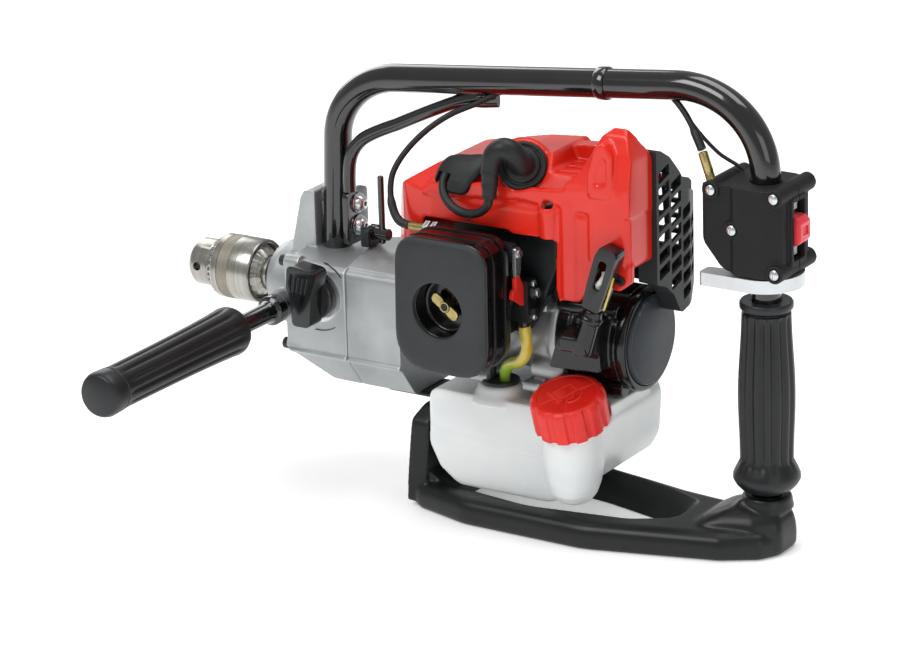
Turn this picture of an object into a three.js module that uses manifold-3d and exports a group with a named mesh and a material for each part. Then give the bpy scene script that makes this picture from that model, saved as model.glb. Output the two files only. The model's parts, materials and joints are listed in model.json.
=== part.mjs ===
// Hand-held petrol drill powerhead, the kind that turns an ice auger bit in its keyed chuck.
// Millimetres. X runs from the chuck (low) to the rear grip (high), Y is the operator's right, Z is up.
// Parts are laid out from the spindle axis: x = 0 is the rear rim of the chuck sleeve, y = z = 0 is on
// the axis. The last group moves the origin to the flat underside of the base, below the rear grip.
import * as THREE from 'three';
import { ConvexGeometry } from 'three/addons/geometries/ConvexGeometry.js';
import { mergeVertices } from 'three/addons/utils/BufferGeometryUtils.js';
import Module from 'manifold-3d';

const wasm = await Module();
wasm.setup();

// ---- driving dimensions ----
const SPINDLE_HEIGHT = 132;      // spindle axis above the underside of the base
const GRIP_X = 405;              // axis of the rear grip and handle tube
const GAP = 0.3;                 // clearance between pieces that touch
const TUBE_R = 10;               // frame tube
const TUBE_BORE_R = 8.4;
const BOLT_R = 2.9;              // clamp bolts
const BOLT_Z = [47, 63];
const SLEEVE_R = 23;             // chuck sleeve
const CHUCK_R = 17;
const JAW_ANGLE = Math.PI / 12;
const JAW_REST = 3.25;           // radius that the jaws grip at rest
const CASE_HALF = 42;            // half width of the gear case
const CASE_FRONT = 46;
const CASE_SPLIT = 97;           // joint between the front casting and the clutch housing
const CASE_REAR = 141;
const LAY_Z = -30;               // lay shaft of the reduction gears
const BORE_R = 17.2;             // cylinder bore
const CYLINDER_X = 224;        // cylinder axis, above the crank pin
const CRANK_THROW = 12;          // half the stroke
const ROD_TOP = 72;              // piston pin with the piston at the top
const COVER_NEAR = -50;          // outside face of the red cover, carburettor side
const COVER_REAR = 330;
const FILTER_X = 207;            // centre of the air cleaner
const FILTER_Z = 31;
const FILTER_FACE = -95;
const INLET_Z = 57;              // carburettor throat
const STARTER_R = 36;
const STARTER_REAR = 309;
const TANK_TOP = -44;
const TANK_BOTTOM = -112;
const CAP_X = 283;
const CAP_Y = -48;
const CAP_R = 26;
const CAP_TILT = THREE.MathUtils.degToRad(18);
const BOX_FRONT = 368;           // throttle and switch box on the handle
const BOX_REAR = 427;
const BOX_BOTTOM = 64;
const BOX_TOP = 124;
const LEVER_Z = 54;
const BASE_TOP = -112;
const BASE_REAR = 423;
const HANDLE_X = 45;             // auxiliary side handle
const HANDLE_Z = -5;
const SELECTOR_X = 74;
const SELECTOR_Z = 6;

// ---- materials ----
const finish = (colour, roughness, metalness) =>
  new THREE.MeshStandardMaterial({ color: colour, roughness, metalness });
const castAluminium = () => finish(0xb4b8b9, 0.5, 0.85);
const steel = () => finish(0xc9c9c4, 0.25, 1);
const darkSteel = () => finish(0x55585a, 0.4, 0.9);
const blackGloss = () => finish(0x08090a, 0.15, 0.1);
const blackPlastic = () => finish(0x17191b, 0.55, 0);
const greyPlastic = () => finish(0x3d4040, 0.6, 0);
const blackRubber = () => finish(0x1d2022, 0.75, 0);
const redPlastic = () => finish(0xe6281c, 0.3, 0);
const switchPlastic = () => finish(0xe2333d, 0.35, 0);
const milkPlastic = () => finish(0xdfe3e3, 0.4, 0);
const clearHose = () => finish(0xa8b42c, 0.3, 0);
const foam = () => finish(0x6d6f68, 0.95, 0);
const brass = () => finish(0xc9a952, 0.3, 0.95);
const zinc = () => finish(0xd4d8da, 0.3, 0.9);
const leverAlloy = () => finish(0xd5d8da, 0.35, 0.7);

// ---- small geometry helpers ----
const point = (x, y, z) => new THREE.Vector3(x, y, z);

function box(x0, x1, y0, y1, z0, z1) {
  const geometry = new THREE.BoxGeometry(x1 - x0, y1 - y0, z1 - z0);
  return geometry.translate((x0 + x1) / 2, (y0 + y1) / 2, (z0 + z1) / 2);
}

// Turned shapes. The profile is a list of [distance along the axis, radius].
function turned(profile, sides) {
  return new THREE.LatheGeometry(profile.map(([along, r]) => new THREE.Vector2(r, along)), sides);
}
const turnedX = (profile, sides = 20) => turned(profile, sides).rotateZ(-Math.PI / 2);
const turnedY = (profile, sides = 20) => turned(profile, sides);
const turnedZ = (profile, sides = 20) => turned(profile, sides).rotateX(Math.PI / 2);

const rod = (from, to, radius) => [[from, 0], [from, radius], [to, radius], [to, 0]];
const ring = (from, to, inner, outer) =>
  [[from, inner], [from, outer], [to, outer], [to, inner], [from, inner]];

// Turned shape whose axis runs from one point towards another.
function turnedBetween(profile, from, to, sides = 16) {
  const turn = new THREE.Quaternion().setFromUnitVectors(point(0, 1, 0), to.clone().sub(from).normalize());
  return turned(profile, sides).applyQuaternion(turn).translate(from.x, from.y, from.z);
}

function outline(points) {
  return new THREE.Shape(points.map(([a, b]) => new THREE.Vector2(a, b)));
}

function roundedOutline(a0, a1, b0, b1, r) {
  const shape = new THREE.Shape();
  shape.absarc(a1 - r, b1 - r, r, 0, Math.PI / 2);
  shape.absarc(a0 + r, b1 - r, r, Math.PI / 2, Math.PI);
  shape.absarc(a0 + r, b0 + r, r, Math.PI, Math.PI * 1.5);
  shape.absarc(a1 - r, b0 + r, r, Math.PI * 1.5, Math.PI * 2);
  return shape;
}

const extruded = (shape, depth, curveSegments = 3) =>
  new THREE.ExtrudeGeometry(shape, { depth, bevelEnabled: false, curveSegments });
// Outline drawn in (y, z) and run along X, in (x, z) along Y, or in (x, y) along Z.
const alongX = (shape, from, to) =>
  extruded(shape, to - from).rotateX(Math.PI / 2).rotateZ(Math.PI / 2).translate(from, 0, 0);
const alongY = (shape, from, to, curveSegments) =>
  extruded(shape, to - from, curveSegments).rotateX(Math.PI / 2).translate(0, to, 0);
const alongZ = (shape, from, to, curveSegments) =>
  extruded(shape, to - from, curveSegments).translate(0, 0, from);

function circlePoints(radius, sides) {
  const corner = (i) => (i + 0.5) * 2 * Math.PI / sides;
  return Array.from({ length: sides }, (_, i) =>
    new THREE.Vector2(radius * Math.cos(corner(i)), radius * Math.sin(corner(i))));
}

function section(radius, bore, sides) {
  const shape = new THREE.Shape(circlePoints(radius, sides));
  if (bore) shape.holes.push(new THREE.Path(circlePoints(bore, sides - 4)));
  return shape;
}

function swept(path, steps, radius, sides = 10, bore = 0) {
  return new THREE.ExtrudeGeometry(section(radius, bore, sides), { steps, extrudePath: path });
}
const through = (points) => new THREE.CatmullRomCurve3(points.map((p) => point(...p)), false, 'centripetal');

function solid(geometry) {
  const bare = geometry.clone();
  bare.deleteAttribute('normal');
  bare.deleteAttribute('uv');
  const merged = mergeVertices(bare, 1e-4);
  return new wasm.Manifold(new wasm.Mesh({
    numProp: 3,
    vertProperties: new Float32Array(merged.attributes.position.array),
    triVerts: new Uint32Array(merged.index.array),
  }));
}

function geometryOf(body) {
  const mesh = body.getMesh();
  const geometry = new THREE.BufferGeometry();
  geometry.setAttribute('position', new THREE.Float32BufferAttribute(mesh.vertProperties, 3));
  geometry.setIndex(new THREE.Uint32BufferAttribute(mesh.triVerts, 1));
  geometry.computeVertexNormals();
  return geometry;
}

const joined = (...pieces) => pieces.map(solid).reduce((whole, piece) => whole.add(piece));
const cut = (body, ...tools) => tools.map(solid).reduce((rest, tool) => rest.subtract(tool), body);

// ---- assembly ----
const machine = new THREE.Group();
machine.position.set(-GRIP_X, 0, SPINDLE_HEIGHT);

function add(name, geometry, material, at = [0, 0, 0]) {
  const mesh = new THREE.Mesh(geometry, material);
  mesh.name = name;
  mesh.position.set(...at);
  machine.add(mesh);
}

// ---- chuck ----
function jawBore(turn, radius, from, to) {
  // The jaw's axis leans outwards to the rear from a point beside the spindle axis at the nose.
  const NOSE = 5.2;
  const along = (x) => point(x, 0, NOSE + (x + 58) * Math.tan(JAW_ANGLE));
  const start = along(from);
  const length = along(to).distanceTo(start);
  return turnedBetween(rod(0, length, radius), start, along(to), 12).rotateX(turn);
}

function chuck() {
  const body = solid(turnedX([
    [-58, 7.2], [-58, 14.5], [-54.5, CHUCK_R], [-3, CHUCK_R], [-3, 13], [6, 13], [6, 5.9],
    [-22, 5.9], [-22, 7.2], [-58, 7.2]], 24));
  const turns = [0, 1, 2].map((i) => i * 2 * Math.PI / 3);
  const bores = turns.map((turn) => jawBore(turn, 3.8, -64, -8));
  const KEY_TURN = 0.9;
  const keyHole = () => turnedZ(rod(9, 20, 3.1), 12).translate(-49, 0, 0);
  const keyHoles = turns.map((turn) => keyHole().rotateX(turn + KEY_TURN));
  add('chuck_body', geometryOf(cut(body, ...bores, ...keyHoles)), steel());

  add('chuck_sleeve', turnedX([
    [-38.5, 17.4], [-38.5, 18], [-33, 22.6], [-32, SLEEVE_R], [-1, SLEEVE_R], [0, 22], [0, 20.4], [-6, 20.4],
    [-6, 17.4], [-12, 17.4], [-12, 20.4], [-34, 20.4], [-34, 17.4], [-38.5, 17.4]], 24), steel());

  turns.forEach((turn, i) => {
    // The three gripping faces nest together when the chuck is closed.
    const wedge = alongX(outline([[0, JAW_REST], [34.6, JAW_REST + 20], [-34.6, JAW_REST + 20]]), -58, -20);
    const jaw = solid(jawBore(turn, 3.4, -62, -31)).intersect(solid(wedge.rotateX(turn)));
    add(`chuck_jaw_${i + 1}`, geometryOf(jaw), darkSteel());
  });
}

// ---- reduction gears and engine internals ----
function gearOutline(teeth, pitchRadius, bore) {
  // Teeth are drawn inside the pitch circle, so that a pair of gears never touches.
  const shape = new THREE.Shape();
  const tip = pitchRadius - 0.2 - GAP;
  const root = tip - 1.9;
  for (let i = 0; i < teeth; i += 1) {
    const at = (part) => (i + part) * 2 * Math.PI / teeth;
    const corners = [[root, 0], [root, 0.3], [tip, 0.42], [tip, 0.78], [root, 0.9]];
    corners.forEach(([r, part], n) => {
      const x = r * Math.cos(at(part));
      const y = r * Math.sin(at(part));
      if (i === 0 && n === 0) shape.moveTo(x, y);
      else shape.lineTo(x, y);
    });
  }
  if (bore) shape.holes.push(new THREE.Path(circlePoints(bore, 16)));
  return shape;
}

const PINION_R = Math.abs(LAY_Z) / 4;          // one to three in each of the two stages
const WHEEL_R = PINION_R * 3;
const PINION_TEETH = 8;
const WHEEL_TEETH = PINION_TEETH * 3;

function gears() {
  const SPINDLE_R = 7.4;
  add('spindle', turnedX([
    [-9, 0], [-9, 5.5], [6.4, 5.5], [6.4, 9], [24, 9], [24, SPINDLE_R], [57, SPINDLE_R],
    [57, 0]], 18), steel());
  add('spindle_gear', alongX(gearOutline(WHEEL_TEETH, WHEEL_R, SPINDLE_R + 0.5), 54.5, 64), darkSteel());
  const wheel = solid(alongX(gearOutline(WHEEL_TEETH, WHEEL_R, 0), 70, 78));
  const pinion = solid(alongX(gearOutline(PINION_TEETH, PINION_R, 0), 53, 71));
  const shaft = solid(turnedX(rod(49, 93, 4), 12));
  add('lay_shaft', geometryOf(wheel.add(pinion).add(shaft)), darkSteel(), [0, 0, LAY_Z]);

  const drum = solid(turnedX([
    [98, 0], [98, 27], [118, 27], [118, 25], [100, 25], [100, 0]], 24));
  const drumPinion = solid(alongX(gearOutline(PINION_TEETH, PINION_R, 0), 68, 98.5));
  add('clutch_drum', geometryOf(drum.add(drumPinion)), darkSteel());

  const shoe = solid(turnedX([[103, 0], [103, 22], [115, 22], [115, 0]], 20));
  const webs = joined(
    turnedX([[112, 0], [112, 7], [202, 7], [202, 21], [211, 21], [211, 0]], 20),
    turnedX(rod(210, 216.6, 5), 14).translate(0, 0, CRANK_THROW));
  const tail = joined(turnedX(rod(233, 284, 7), 14), turnedX(rod(233, 240, 21), 20));
  add('crankshaft', geometryOf(shoe.add(webs)), steel());
  add('flywheel', geometryOf(tail.add(flywheelFan())), castAluminium());
}

function flywheelFan() {
  const BLADES = 8;
  const hub = turnedX([[266, 0], [266, 28], [270.5, 28], [270.5, 16], [280, 16], [280, 0]], 24);
  const blades = Array.from({ length: BLADES }, (_, i) =>
    box(270, 281, -1, 1, 15, 31).rotateX(i * 2 * Math.PI / BLADES));
  return cut(joined(hub, ...blades), turnedX(ring(260, 290, 31, 40), 24));
}

function engine() {
  const crown = solid(turnedZ(rod(ROD_TOP - 11, ROD_TOP + 13, BORE_R - 0.4), 20));
  const slot = box(-7.5, 7.5, -30, 30, 40, ROD_TOP + 8);
  add('piston', geometryOf(cut(crown, slot)), castAluminium(), [CYLINDER_X, 0, 0]);

  const rodShape = new THREE.Shape();
  rodShape.absarc(0, CRANK_THROW, 8.5, Math.PI * 0.8, Math.PI * 2.2);
  rodShape.absarc(0, ROD_TOP, 6, -Math.PI * 0.25, Math.PI * 1.25);
  const bigEnd = circlePoints(5.5, 12).map((p) => p.add(new THREE.Vector2(0, CRANK_THROW)));
  rodShape.holes.push(new THREE.Path(bigEnd));
  add('connecting_rod', alongX(rodShape, 217, 223), steel());

  const FIN_R = 34;
  const CORE_R = 20;
  const FIN_FEET = [50, 62, 74];
  const fins = FIN_FEET.flatMap((z) => [[z, CORE_R], [z, FIN_R], [z + 3, FIN_R], [z + 3, CORE_R]]);
  const barrel = solid(turnedZ([
    [35, CORE_R], ...fins, [86, CORE_R], [86, FIN_R], [96, FIN_R], [96, 0], [88, 0], [88, BORE_R],
    [35, BORE_R], [35, CORE_R]], 18));
  const inlet = cut(barrel, turnedY(rod(-50, -15, 5), 12).translate(0, 0, INLET_Z));
  add('cylinder', geometryOf(inlet), castAluminium(), [CYLINDER_X, 0, 0]);

  const shell = joined(
    turnedX(rod(CASE_REAR + GAP, 262, 34), 26),
    turnedZ(rod(20, 49, 27), 24).translate(CYLINDER_X, 0, 0));
  const inside = [
    turnedX(rod(150, 256, 27), 24),
    turnedX(rod(135, 270, 8), 16),
    turnedZ(rod(0, 60, 20.4), 24).translate(CYLINDER_X, 0, 0)];
  add('crankcase', geometryOf(cut(shell, ...inside)), castAluminium());
}

// ---- gear case ----
function caseOutline(top, inset) {
  const half = CASE_HALF - inset;
  const shape = new THREE.Shape();
  shape.moveTo(-24 + inset / 2, -62 + inset);
  shape.lineTo(24 - inset / 2, -62 + inset);
  shape.lineTo(half, -38 + inset / 2);
  shape.lineTo(half, 27 - inset);
  shape.quadraticCurveTo(half * 0.6, top - inset, 0, top - inset);
  shape.quadraticCurveTo(-half * 0.6, top - inset, -half, 27 - inset);
  shape.lineTo(-half, -38 + inset / 2);
  return shape;
}

const boltHoles = (from, to) =>
  BOLT_Z.map((z) => turnedX(rod(from, to, BOLT_R + 0.4), 10).translate(0, 0, z));

function gearCase() {
  const nose = turnedX([[14, 0], [14, 19], [17, 24], [22, 27], [52, 27], [52, 0]], 28);
  const front = alongX(caseOutline(30, 0), CASE_FRONT, CASE_SPLIT - GAP);
  // The front casting's underside slopes up towards the chuck, with a wall of even thickness above it.
  const chin = alongY(outline([[40, -80], [74, -80], [74, -62], [45.9, -36], [40, -36]]), -60, 60);
  const post = alongY(outline([[31, 10], [42, 66], [47, 70], [54, 70], [54, 10]]), -13, 13);
  const handleBoss = turnedY(rod(-43, -12, 12), 18).translate(HANDLE_X, 0, HANDLE_Z);
  const whole = joined(nose, front, post, handleBoss);
  const chinWall = alongY(outline([[40, -90], [76, -90], [76, -59.8], [47.9, -33.8], [40, -33.8]]), -60, 60);
  const room = solid(alongX(caseOutline(30, 5), 51, CASE_SPLIT + 5)).subtract(solid(chinWall));
  const inside = [
    chin,
    turnedX([[10, 0], [10, 9.6], [24.4, 9.6], [24.4, 8], [60, 8], [60, 0]], 18),
    turnedX(rod(48, 55, 4.5), 12).translate(0, 0, LAY_Z),
    turnedY(rod(-60, -20, 5.2), 12).translate(HANDLE_X, 0, HANDLE_Z),
    ...boltHoles(30, 70),
    turnedZ(rod(29.5, 90, TUBE_R + GAP), 18).translate(63.6, 0, 0)];
  add('gear_cover', geometryOf(cut(whole, ...inside).subtract(room)), castAluminium());

  const barrel = solid(alongX(caseOutline(36, 0), CASE_SPLIT, CASE_REAR));
  const hollow = [
    turnedX(rod(90, 136, 29), 26),
    turnedX(rod(130, 150, 8), 14)];
  add('gear_housing', geometryOf(cut(barrel, ...hollow)), castAluminium());
}

function gearSelector() {
  const disc = turnedY(rod(-50, -CASE_HALF - GAP, 16), 24);
  const wing = alongY(roundedOutline(-8.5, 8.5, -20, 26, 7), -64, -49);
  add('gear_selector', geometryOf(joined(disc, wing)), blackPlastic(), [SELECTOR_X, 0, SELECTOR_Z]);
}

function sideHandle() {
  const at = [HANDLE_X, 0, HANDLE_Z];
  add('side_handle_rod', turnedY([
    [-110, 0], [-110, 7], [-64, 7], [-62, 10.5], [-43.3, 10.5], [-43.3, 4.8], [-25, 4.8], [-25, 0]], 18),
  blackGloss(), at);
  add('side_handle_grip', turnedY([
    [-257, 0], [-257, 14], [-254, 16], [-240, 15.6], [-190, 15], [-150, 15.6], [-118, 17.8], [-107, 16.5],
    [-100, 11], [-100, 7.3], [-112, 7.3], [-112, 0]], 18), blackRubber(), at);
}

// ---- red cover, muffler and guard ----
const PLUG_SEAT = point(226, -8, 103);
const PLUG_TIP = point(242, -38, 121);
const PLUG_WAY = PLUG_TIP.clone().sub(PLUG_SEAT).normalize();

function coverBody(inset) {
  const side = outline([
    [118 + inset, 10], [121 + inset, 48], [134 + inset, 83], [145 + inset, 97 - inset], [176, 116 - inset],
    [230, 127 - inset], [259, 130 - inset], [263, 120 - inset], [285 + inset, 120 - inset],
    [292 + inset, 132 - inset], [320, 137 - inset], [COVER_REAR - inset, 136 - inset],
    [COVER_REAR - inset, 64], [317, 60], [297, 44], [291, 36.5], [276, 36], [262, 10]]);
  const near = COVER_NEAR + inset;
  const front = outline([
    [near, 0], [near, 96], [-36 + inset / 2, 121 - inset / 2], [-20, 137 - inset], [12, 137 - inset],
    [22 - inset, 126 - inset], [22 - inset, 0]]);
  const plan = outline([
    [110 + inset, 30], [110 + inset, 8], [154 + inset, near], [COVER_REAR - inset, near],
    [COVER_REAR - inset, 30]]);
  // Behind the vent channel the far shoulder falls away, level with the edge of the muffler guard.
  const shoulder = alongX(outline([
    [-2 - inset, 131], [11.5 - inset, 117], [21 - inset, 102], [23, 60], [60, 60], [60, 180],
    [-20 - inset, 180], [-20 - inset, 139 - inset]]), 284 - inset, 350);
  const hull = solid(alongY(side, -70, 40));
  return hull.intersect(solid(alongX(front, 100, 350))).intersect(solid(alongZ(plan, -10, 160)))
    .subtract(solid(shoulder));
}

function engineCover() {
  const WALL = 2.5;
  const hump = solid(alongY(outline([
    [282, 112], [292, 132], [299, 144], [306, 153], [314, 158], [322, 157], [327, 150], [COVER_REAR, 138],
    [COVER_REAR, 112]]), -49, -24));
  const shell = coverBody(0).add(hump).subtract(coverBody(WALL));
  const openings = [
    box(90, 340, -70, 40, -5, 12),
    alongY(outline([[168, 0], [168, 78.5], [274, 78.5], [273, 0]]), -60, -40),
    alongX(caseOutline(38, -1.5), 90, CASE_REAR + 0.5),
    turnedX(rod(130, 275, 36), 24),
    turnedBetween(rod(-9, 20, 16.6), PLUG_TIP, PLUG_TIP.clone().add(PLUG_WAY), 20),
    box(319, 340, -18, 40, 20, 150),
    box(190, 326, 17, 40, 10, 122)];
  add('engine_cover', geometryOf(cut(shell, ...openings)), redPlastic());
}

function guardPanel(inset) {
  const face = alongX(outline([
    [-18 + inset, 47 + inset], [-18 + inset, 138 - inset], [-2, 131 - inset],
    [11.5 - inset / 2, 117 - inset], [21, 103 - inset], [40, 96 - inset], [53 - inset, 84 - inset],
    [57.5 - inset, 60], [56 - inset, 46 + inset / 2], [46 - inset / 2, 34 + inset], [30, 22 + inset],
    [13 + inset / 2, 18 + inset], [2 + inset / 2, 34 + inset], [-8, 43 + inset]]),
  COVER_REAR - 10.7, COVER_REAR + 4 - inset);
  const plan = alongZ(outline([
    [280, -20], [COVER_REAR + 4 - inset, -20], [COVER_REAR + 4 - inset, 22], [COVER_REAR - 3 - inset, 42],
    [318 - inset, 54 - inset], [308, 58 - inset], [280, 58 - inset]]), 0, 150);
  return solid(face).intersect(solid(plan));
}

function muffler() {
  const body = joined(
    alongX(roundedOutline(36, 49, 40, 96, 6), 196, 284),
    turnedY(rod(34.4, 38, 10), 16).translate(CYLINDER_X, 0, 70));
  const outlet = turnedX(rod(274, 300, 4.5), 12).translate(0, 43, 60);
  add('muffler', geometryOf(cut(body, outlet)), darkSteel());

  // The guard is a side panel and a rear grille that meet round a curved corner.
  const rear = guardPanel(0);
  const side = alongX(outline([
    [22.5, 30], [22.5, 103], [44, 103], [53, 95], [58, 60], [56, 46], [40, 30]]), 190, 320);
  const room = guardPanel(2.6);
  const hollow = [
    alongX(outline([
      [19, 33], [19, 100.4], [43, 100.4], [50.5, 93], [55, 60], [53, 47], [39, 33]]), 193, COVER_REAR - 8),
    box(180, COVER_REAR - 11, 22, 30, 20, 99)];
  const SLOTS = 4;
  const SLOT_PITCH = 15;
  const slots = Array.from({ length: SLOTS }, (_, i) => box(COVER_REAR - 8, COVER_REAR + 9, 4, 20, 44, 53)
    .translate(0, 0, i * SLOT_PITCH));
  const whole = solid(side).add(rear).subtract(room);
  add('muffler_guard', geometryOf(cut(whole, ...hollow, ...slots)), blackPlastic());
}

// ---- recoil starter ----
function starter() {
  const HANDLE_TILT = THREE.MathUtils.degToRad(18);
  const HANDLE_Y = -59;
  const guideFoot = point(300, HANDLE_Y, 14);
  const GUIDE_LENGTH = 26;
  const FACE = STARTER_REAR + GAP;
  const way = point(Math.sin(HANDLE_TILT), 0, Math.cos(HANDLE_TILT));
  const guideTop = guideFoot.clone().addScaledVector(way, GUIDE_LENGTH);
  const drum = joined(
    turnedX(rod(262.5, STARTER_REAR, STARTER_R), 28),
    alongX(outline([
      [-20, -13], [-44, -10], [-48, 2], [-66, 7], [-66, 17], [-58, 21], [-20, 21]]), 284, 304),
    turnedBetween(rod(-8, 25, 6.5), guideFoot, guideTop, 14));
  const inside = [
    turnedX(rod(258, STARTER_REAR - 3, STARTER_R - 2), 26),
    turnedBetween(rod(-12, 30, 2.6), guideFoot, guideTop, 10),
    turnedBetween(rod(-4, 36, 2.6), point(298, -27, 0), point(299, HANDLE_Y, 4), 10)];
  add('starter_housing', geometryOf(cut(drum, ...inside)), blackPlastic());
  add('starter_cap', turnedX([
    [FACE, 0], [FACE, STARTER_R], [FACE + 5, STARTER_R], [FACE + 7, 34.5], [FACE + 7, 32],
    [FACE + 9.6, 30.5], [FACE + 9.6, 0]], 26), greyPlastic());
  add('starter_pulley', turnedX([
    [288, 0], [288, 27], [290, 27], [290, 22], [296, 22], [296, 27], [298, 27],
    [298, 0]], 22), blackPlastic());

  const grip = solid(alongY(roundedOutline(-8, 8, 0, 46, 5), -6.5, 6.5));
  const slot = alongY(roundedOutline(-3, 3, 12, 36, 3), -20, 20);
  const pull = geometryOf(cut(grip, slot));
  pull.rotateY(HANDLE_TILT);
  add('starter_handle', pull, blackPlastic(), guideTop.toArray());
}

// ---- fuel system ----
function capFrame(geometry) {
  return geometry.rotateX(CAP_TILT).translate(CAP_X, CAP_Y, TANK_TOP - 6);
}

function tankBody(inset) {
  const HALF = 48;
  const side = outline([
    [168 + inset, TANK_TOP - inset], [168 + inset, -86], [176 + inset / 2, -101 + inset / 2],
    [190, TANK_BOTTOM + inset], [264, TANK_BOTTOM + inset], [289 - inset, -97], [302 - inset, -78],
    [309 - inset, TANK_TOP - inset]]);
  const plan = outline([
    [160, -HALF + inset], [303 - inset, -HALF + inset], [312 - inset, -38 + inset], [312 - inset, 18],
    [302 - inset, 38 - inset], [280 - inset, HALF - inset], [160, HALF - inset]]);
  return solid(alongY(side, -60, 60)).intersect(solid(alongZ(plan, -120, -30)));
}

function fuelTank() {
  const WALL = 2.6;
  const PLUG_AT = [217, -32, 0];
  const neck = capFrame(turnedZ(rod(-10, 20, 20.9), 20));
  const capRoom = capFrame(turnedZ(rod(-0.5, 40, CAP_R + 0.8), 24));
  const bulge = turnedZ([
    [-107, 0], [-107, 7], [-102, 14], [-93, 18.5], [-80, 20.6], [-62, 21], [TANK_TOP - 3, 21],
    [TANK_TOP - 3, 0]], 20).translate(CAP_X, CAP_Y, 0);
  const collar = turnedZ([
    [TANK_TOP - 5, 0], [TANK_TOP - 5, 19], [TANK_TOP + 4, 17], [TANK_TOP + 7, 14.5],
    [TANK_TOP + 7, 0]], 20).translate(...PLUG_AT);
  const outside = cut(tankBody(0).add(joined(bulge, collar)), capRoom).add(solid(neck));
  const inside = tankBody(WALL).add(joined(
    turnedZ([
      [-99, 0], [-99, 11], [-91, 16], [-79, 18], [TANK_TOP - 10, 18], [TANK_TOP - 10, 0]], 20)
      .translate(CAP_X, CAP_Y, 0),
    capFrame(turnedZ(rod(-16, 30, 16), 18)),
    turnedZ(rod(TANK_TOP - 10, TANK_TOP + 12, 9.6), 16).translate(...PLUG_AT)));
  add('fuel_tank', geometryOf(outside.subtract(inside)), milkPlastic());

  const cap = capFrame(turnedZ([
    [0, 21.5], [0, CAP_R], [22, CAP_R], [24, CAP_R - 2], [24, 0], [21, 0], [21, 21.5], [0, 21.5]], 22));
  add('fuel_cap', cap, redPlastic());

  const plug = solid(turnedZ([
    [TANK_TOP - 4, 0], [TANK_TOP - 4, 9.3], [TANK_TOP + 7.3, 9.3], [TANK_TOP + 7.3, 13], [TANK_TOP + 10, 12],
    [TANK_TOP + 10, 0]], 20));
  const holes = [
    turnedZ(rod(-60, -20, 3.7), 12).translate(3, 0, 0),
    turnedZ(rod(-60, -20, 2.4), 10).translate(-6.3, 0, 0)];
  add('tank_grommet', geometryOf(cut(plug, ...holes)), blackRubber(), PLUG_AT);

  add('fuel_hose', swept(through([
    [246, -47, 12], [247, -47, 4], [246, -45, -6], [238, -41, -16], [226, -35, -22], [220.5, -32.3, -29],
    [220, -32, -38], [220, -32, -46]]), 26, 3.4, 10), clearHose());
  add('return_hose', swept(through([
    [228, -42, 3], [226, -40, -8], [218, -36, -17], [211.5, -32.5, -25], [210.7, -32, -33],
    [210.7, -32, -46]]), 22, 2.1, 8), blackRubber());
}

function carburettor() {
  const body = joined(
    box(203, 240, -51.5, -36, 30, 66),
    box(232, 252, -51.5, -40, 16, 46),
    turnedY(rod(-36.5, -34.5, 15), 18).translate(CYLINDER_X, 0, INLET_Z),
    box(222, 234, -46, -38, 4, 32));
  const throat = turnedY(rod(-60, -20, 7), 16).translate(CYLINDER_X, 0, INLET_Z);
  const spigotHole = turnedZ(rod(10, 22, 3.8), 10).translate(246, -47, 0);
  add('carburettor', geometryOf(cut(body, throat, spigotHole)), castAluminium());
}

// ---- air cleaner ----
function filterOutline(inset) {
  const x0 = FILTER_X - 36 + inset;
  const x1 = FILTER_X + 38.2 - inset;
  return roundedOutline(x0, x1, FILTER_Z - 46 + inset, FILTER_Z + 48 - inset, 24 - inset);
}

function airCleaner() {
  const CUP_R = 18.9;
  const centred = (geometry) => geometry.translate(FILTER_X, 0, FILTER_Z);
  const CHOKE_PIVOT = [245.5, -55.5, 66];
  const chokePin = (radius) => turnedX(rod(-4, 4, radius), 10);
  const plate = joined(
    alongY(filterOutline(12), -59, -52, 2),
    box(228, 244.8, -59, -52, 60, 72),
    centred(turnedY(rod(-86, -58, 2.6), 10)));
  const inlet = turnedY(rod(-70, -40, 7), 16).translate(CYLINDER_X, 0, INLET_Z);
  const pinHole = chokePin(2.4 + GAP).translate(...CHOKE_PIVOT);
  add('air_cleaner_base', geometryOf(cut(plate, inlet, pinHole)), blackPlastic());

  const pad = solid(alongY(filterOutline(11), -70, -59.4, 2));
  add('filter_element', geometryOf(cut(pad, centred(turnedY(rod(-80, -50, 4.5), 10)))), foam());

  const outer = joined(
    alongY(filterOutline(4), FILTER_FACE, -89.9, 2),
    alongY(filterOutline(0), -90, -74, 2),
    alongY(filterOutline(6), -74.1, -59.4, 2));
  const room = [alongY(filterOutline(2.6), -88, -76.4, 2), alongY(filterOutline(8.6), -80, -50, 2)];
  const cup = joined(
    centred(turnedY(ring(-91, -76, CUP_R, CUP_R + 2.4), 20)),
    centred(turnedY(ring(-78.4, -76, 3.4, CUP_R + 1), 20)));
  const mouth = centred(turnedY(rod(-110, -78.4, CUP_R), 24));
  add('air_cleaner_cover', geometryOf(cut(cut(outer, ...room).add(cup), mouth)), greyPlastic());

  const hub = turnedY(rod(-84, -78.8, 5.5), 14);
  const wings = box(-13, 13, -86, -81, -1.6, 1.6).rotateY(0.5);
  const nut = cut(joined(hub, wings), turnedY(rod(-100, -70, 2.9), 10));
  add('wing_nut', geometryOf(nut), brass(), [FILTER_X, 0, FILTER_Z]);

  const arm = alongX(outline([
    [-4, 4], [3, 4], [2, -9], [-1, -14], [1, -25], [-11, -22], [-7, -14], [-4.5, -9]]), 0, 2.5);
  add('choke_lever', geometryOf(joined(arm, chokePin(2.4))), redPlastic(), CHOKE_PIVOT);
}

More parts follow.
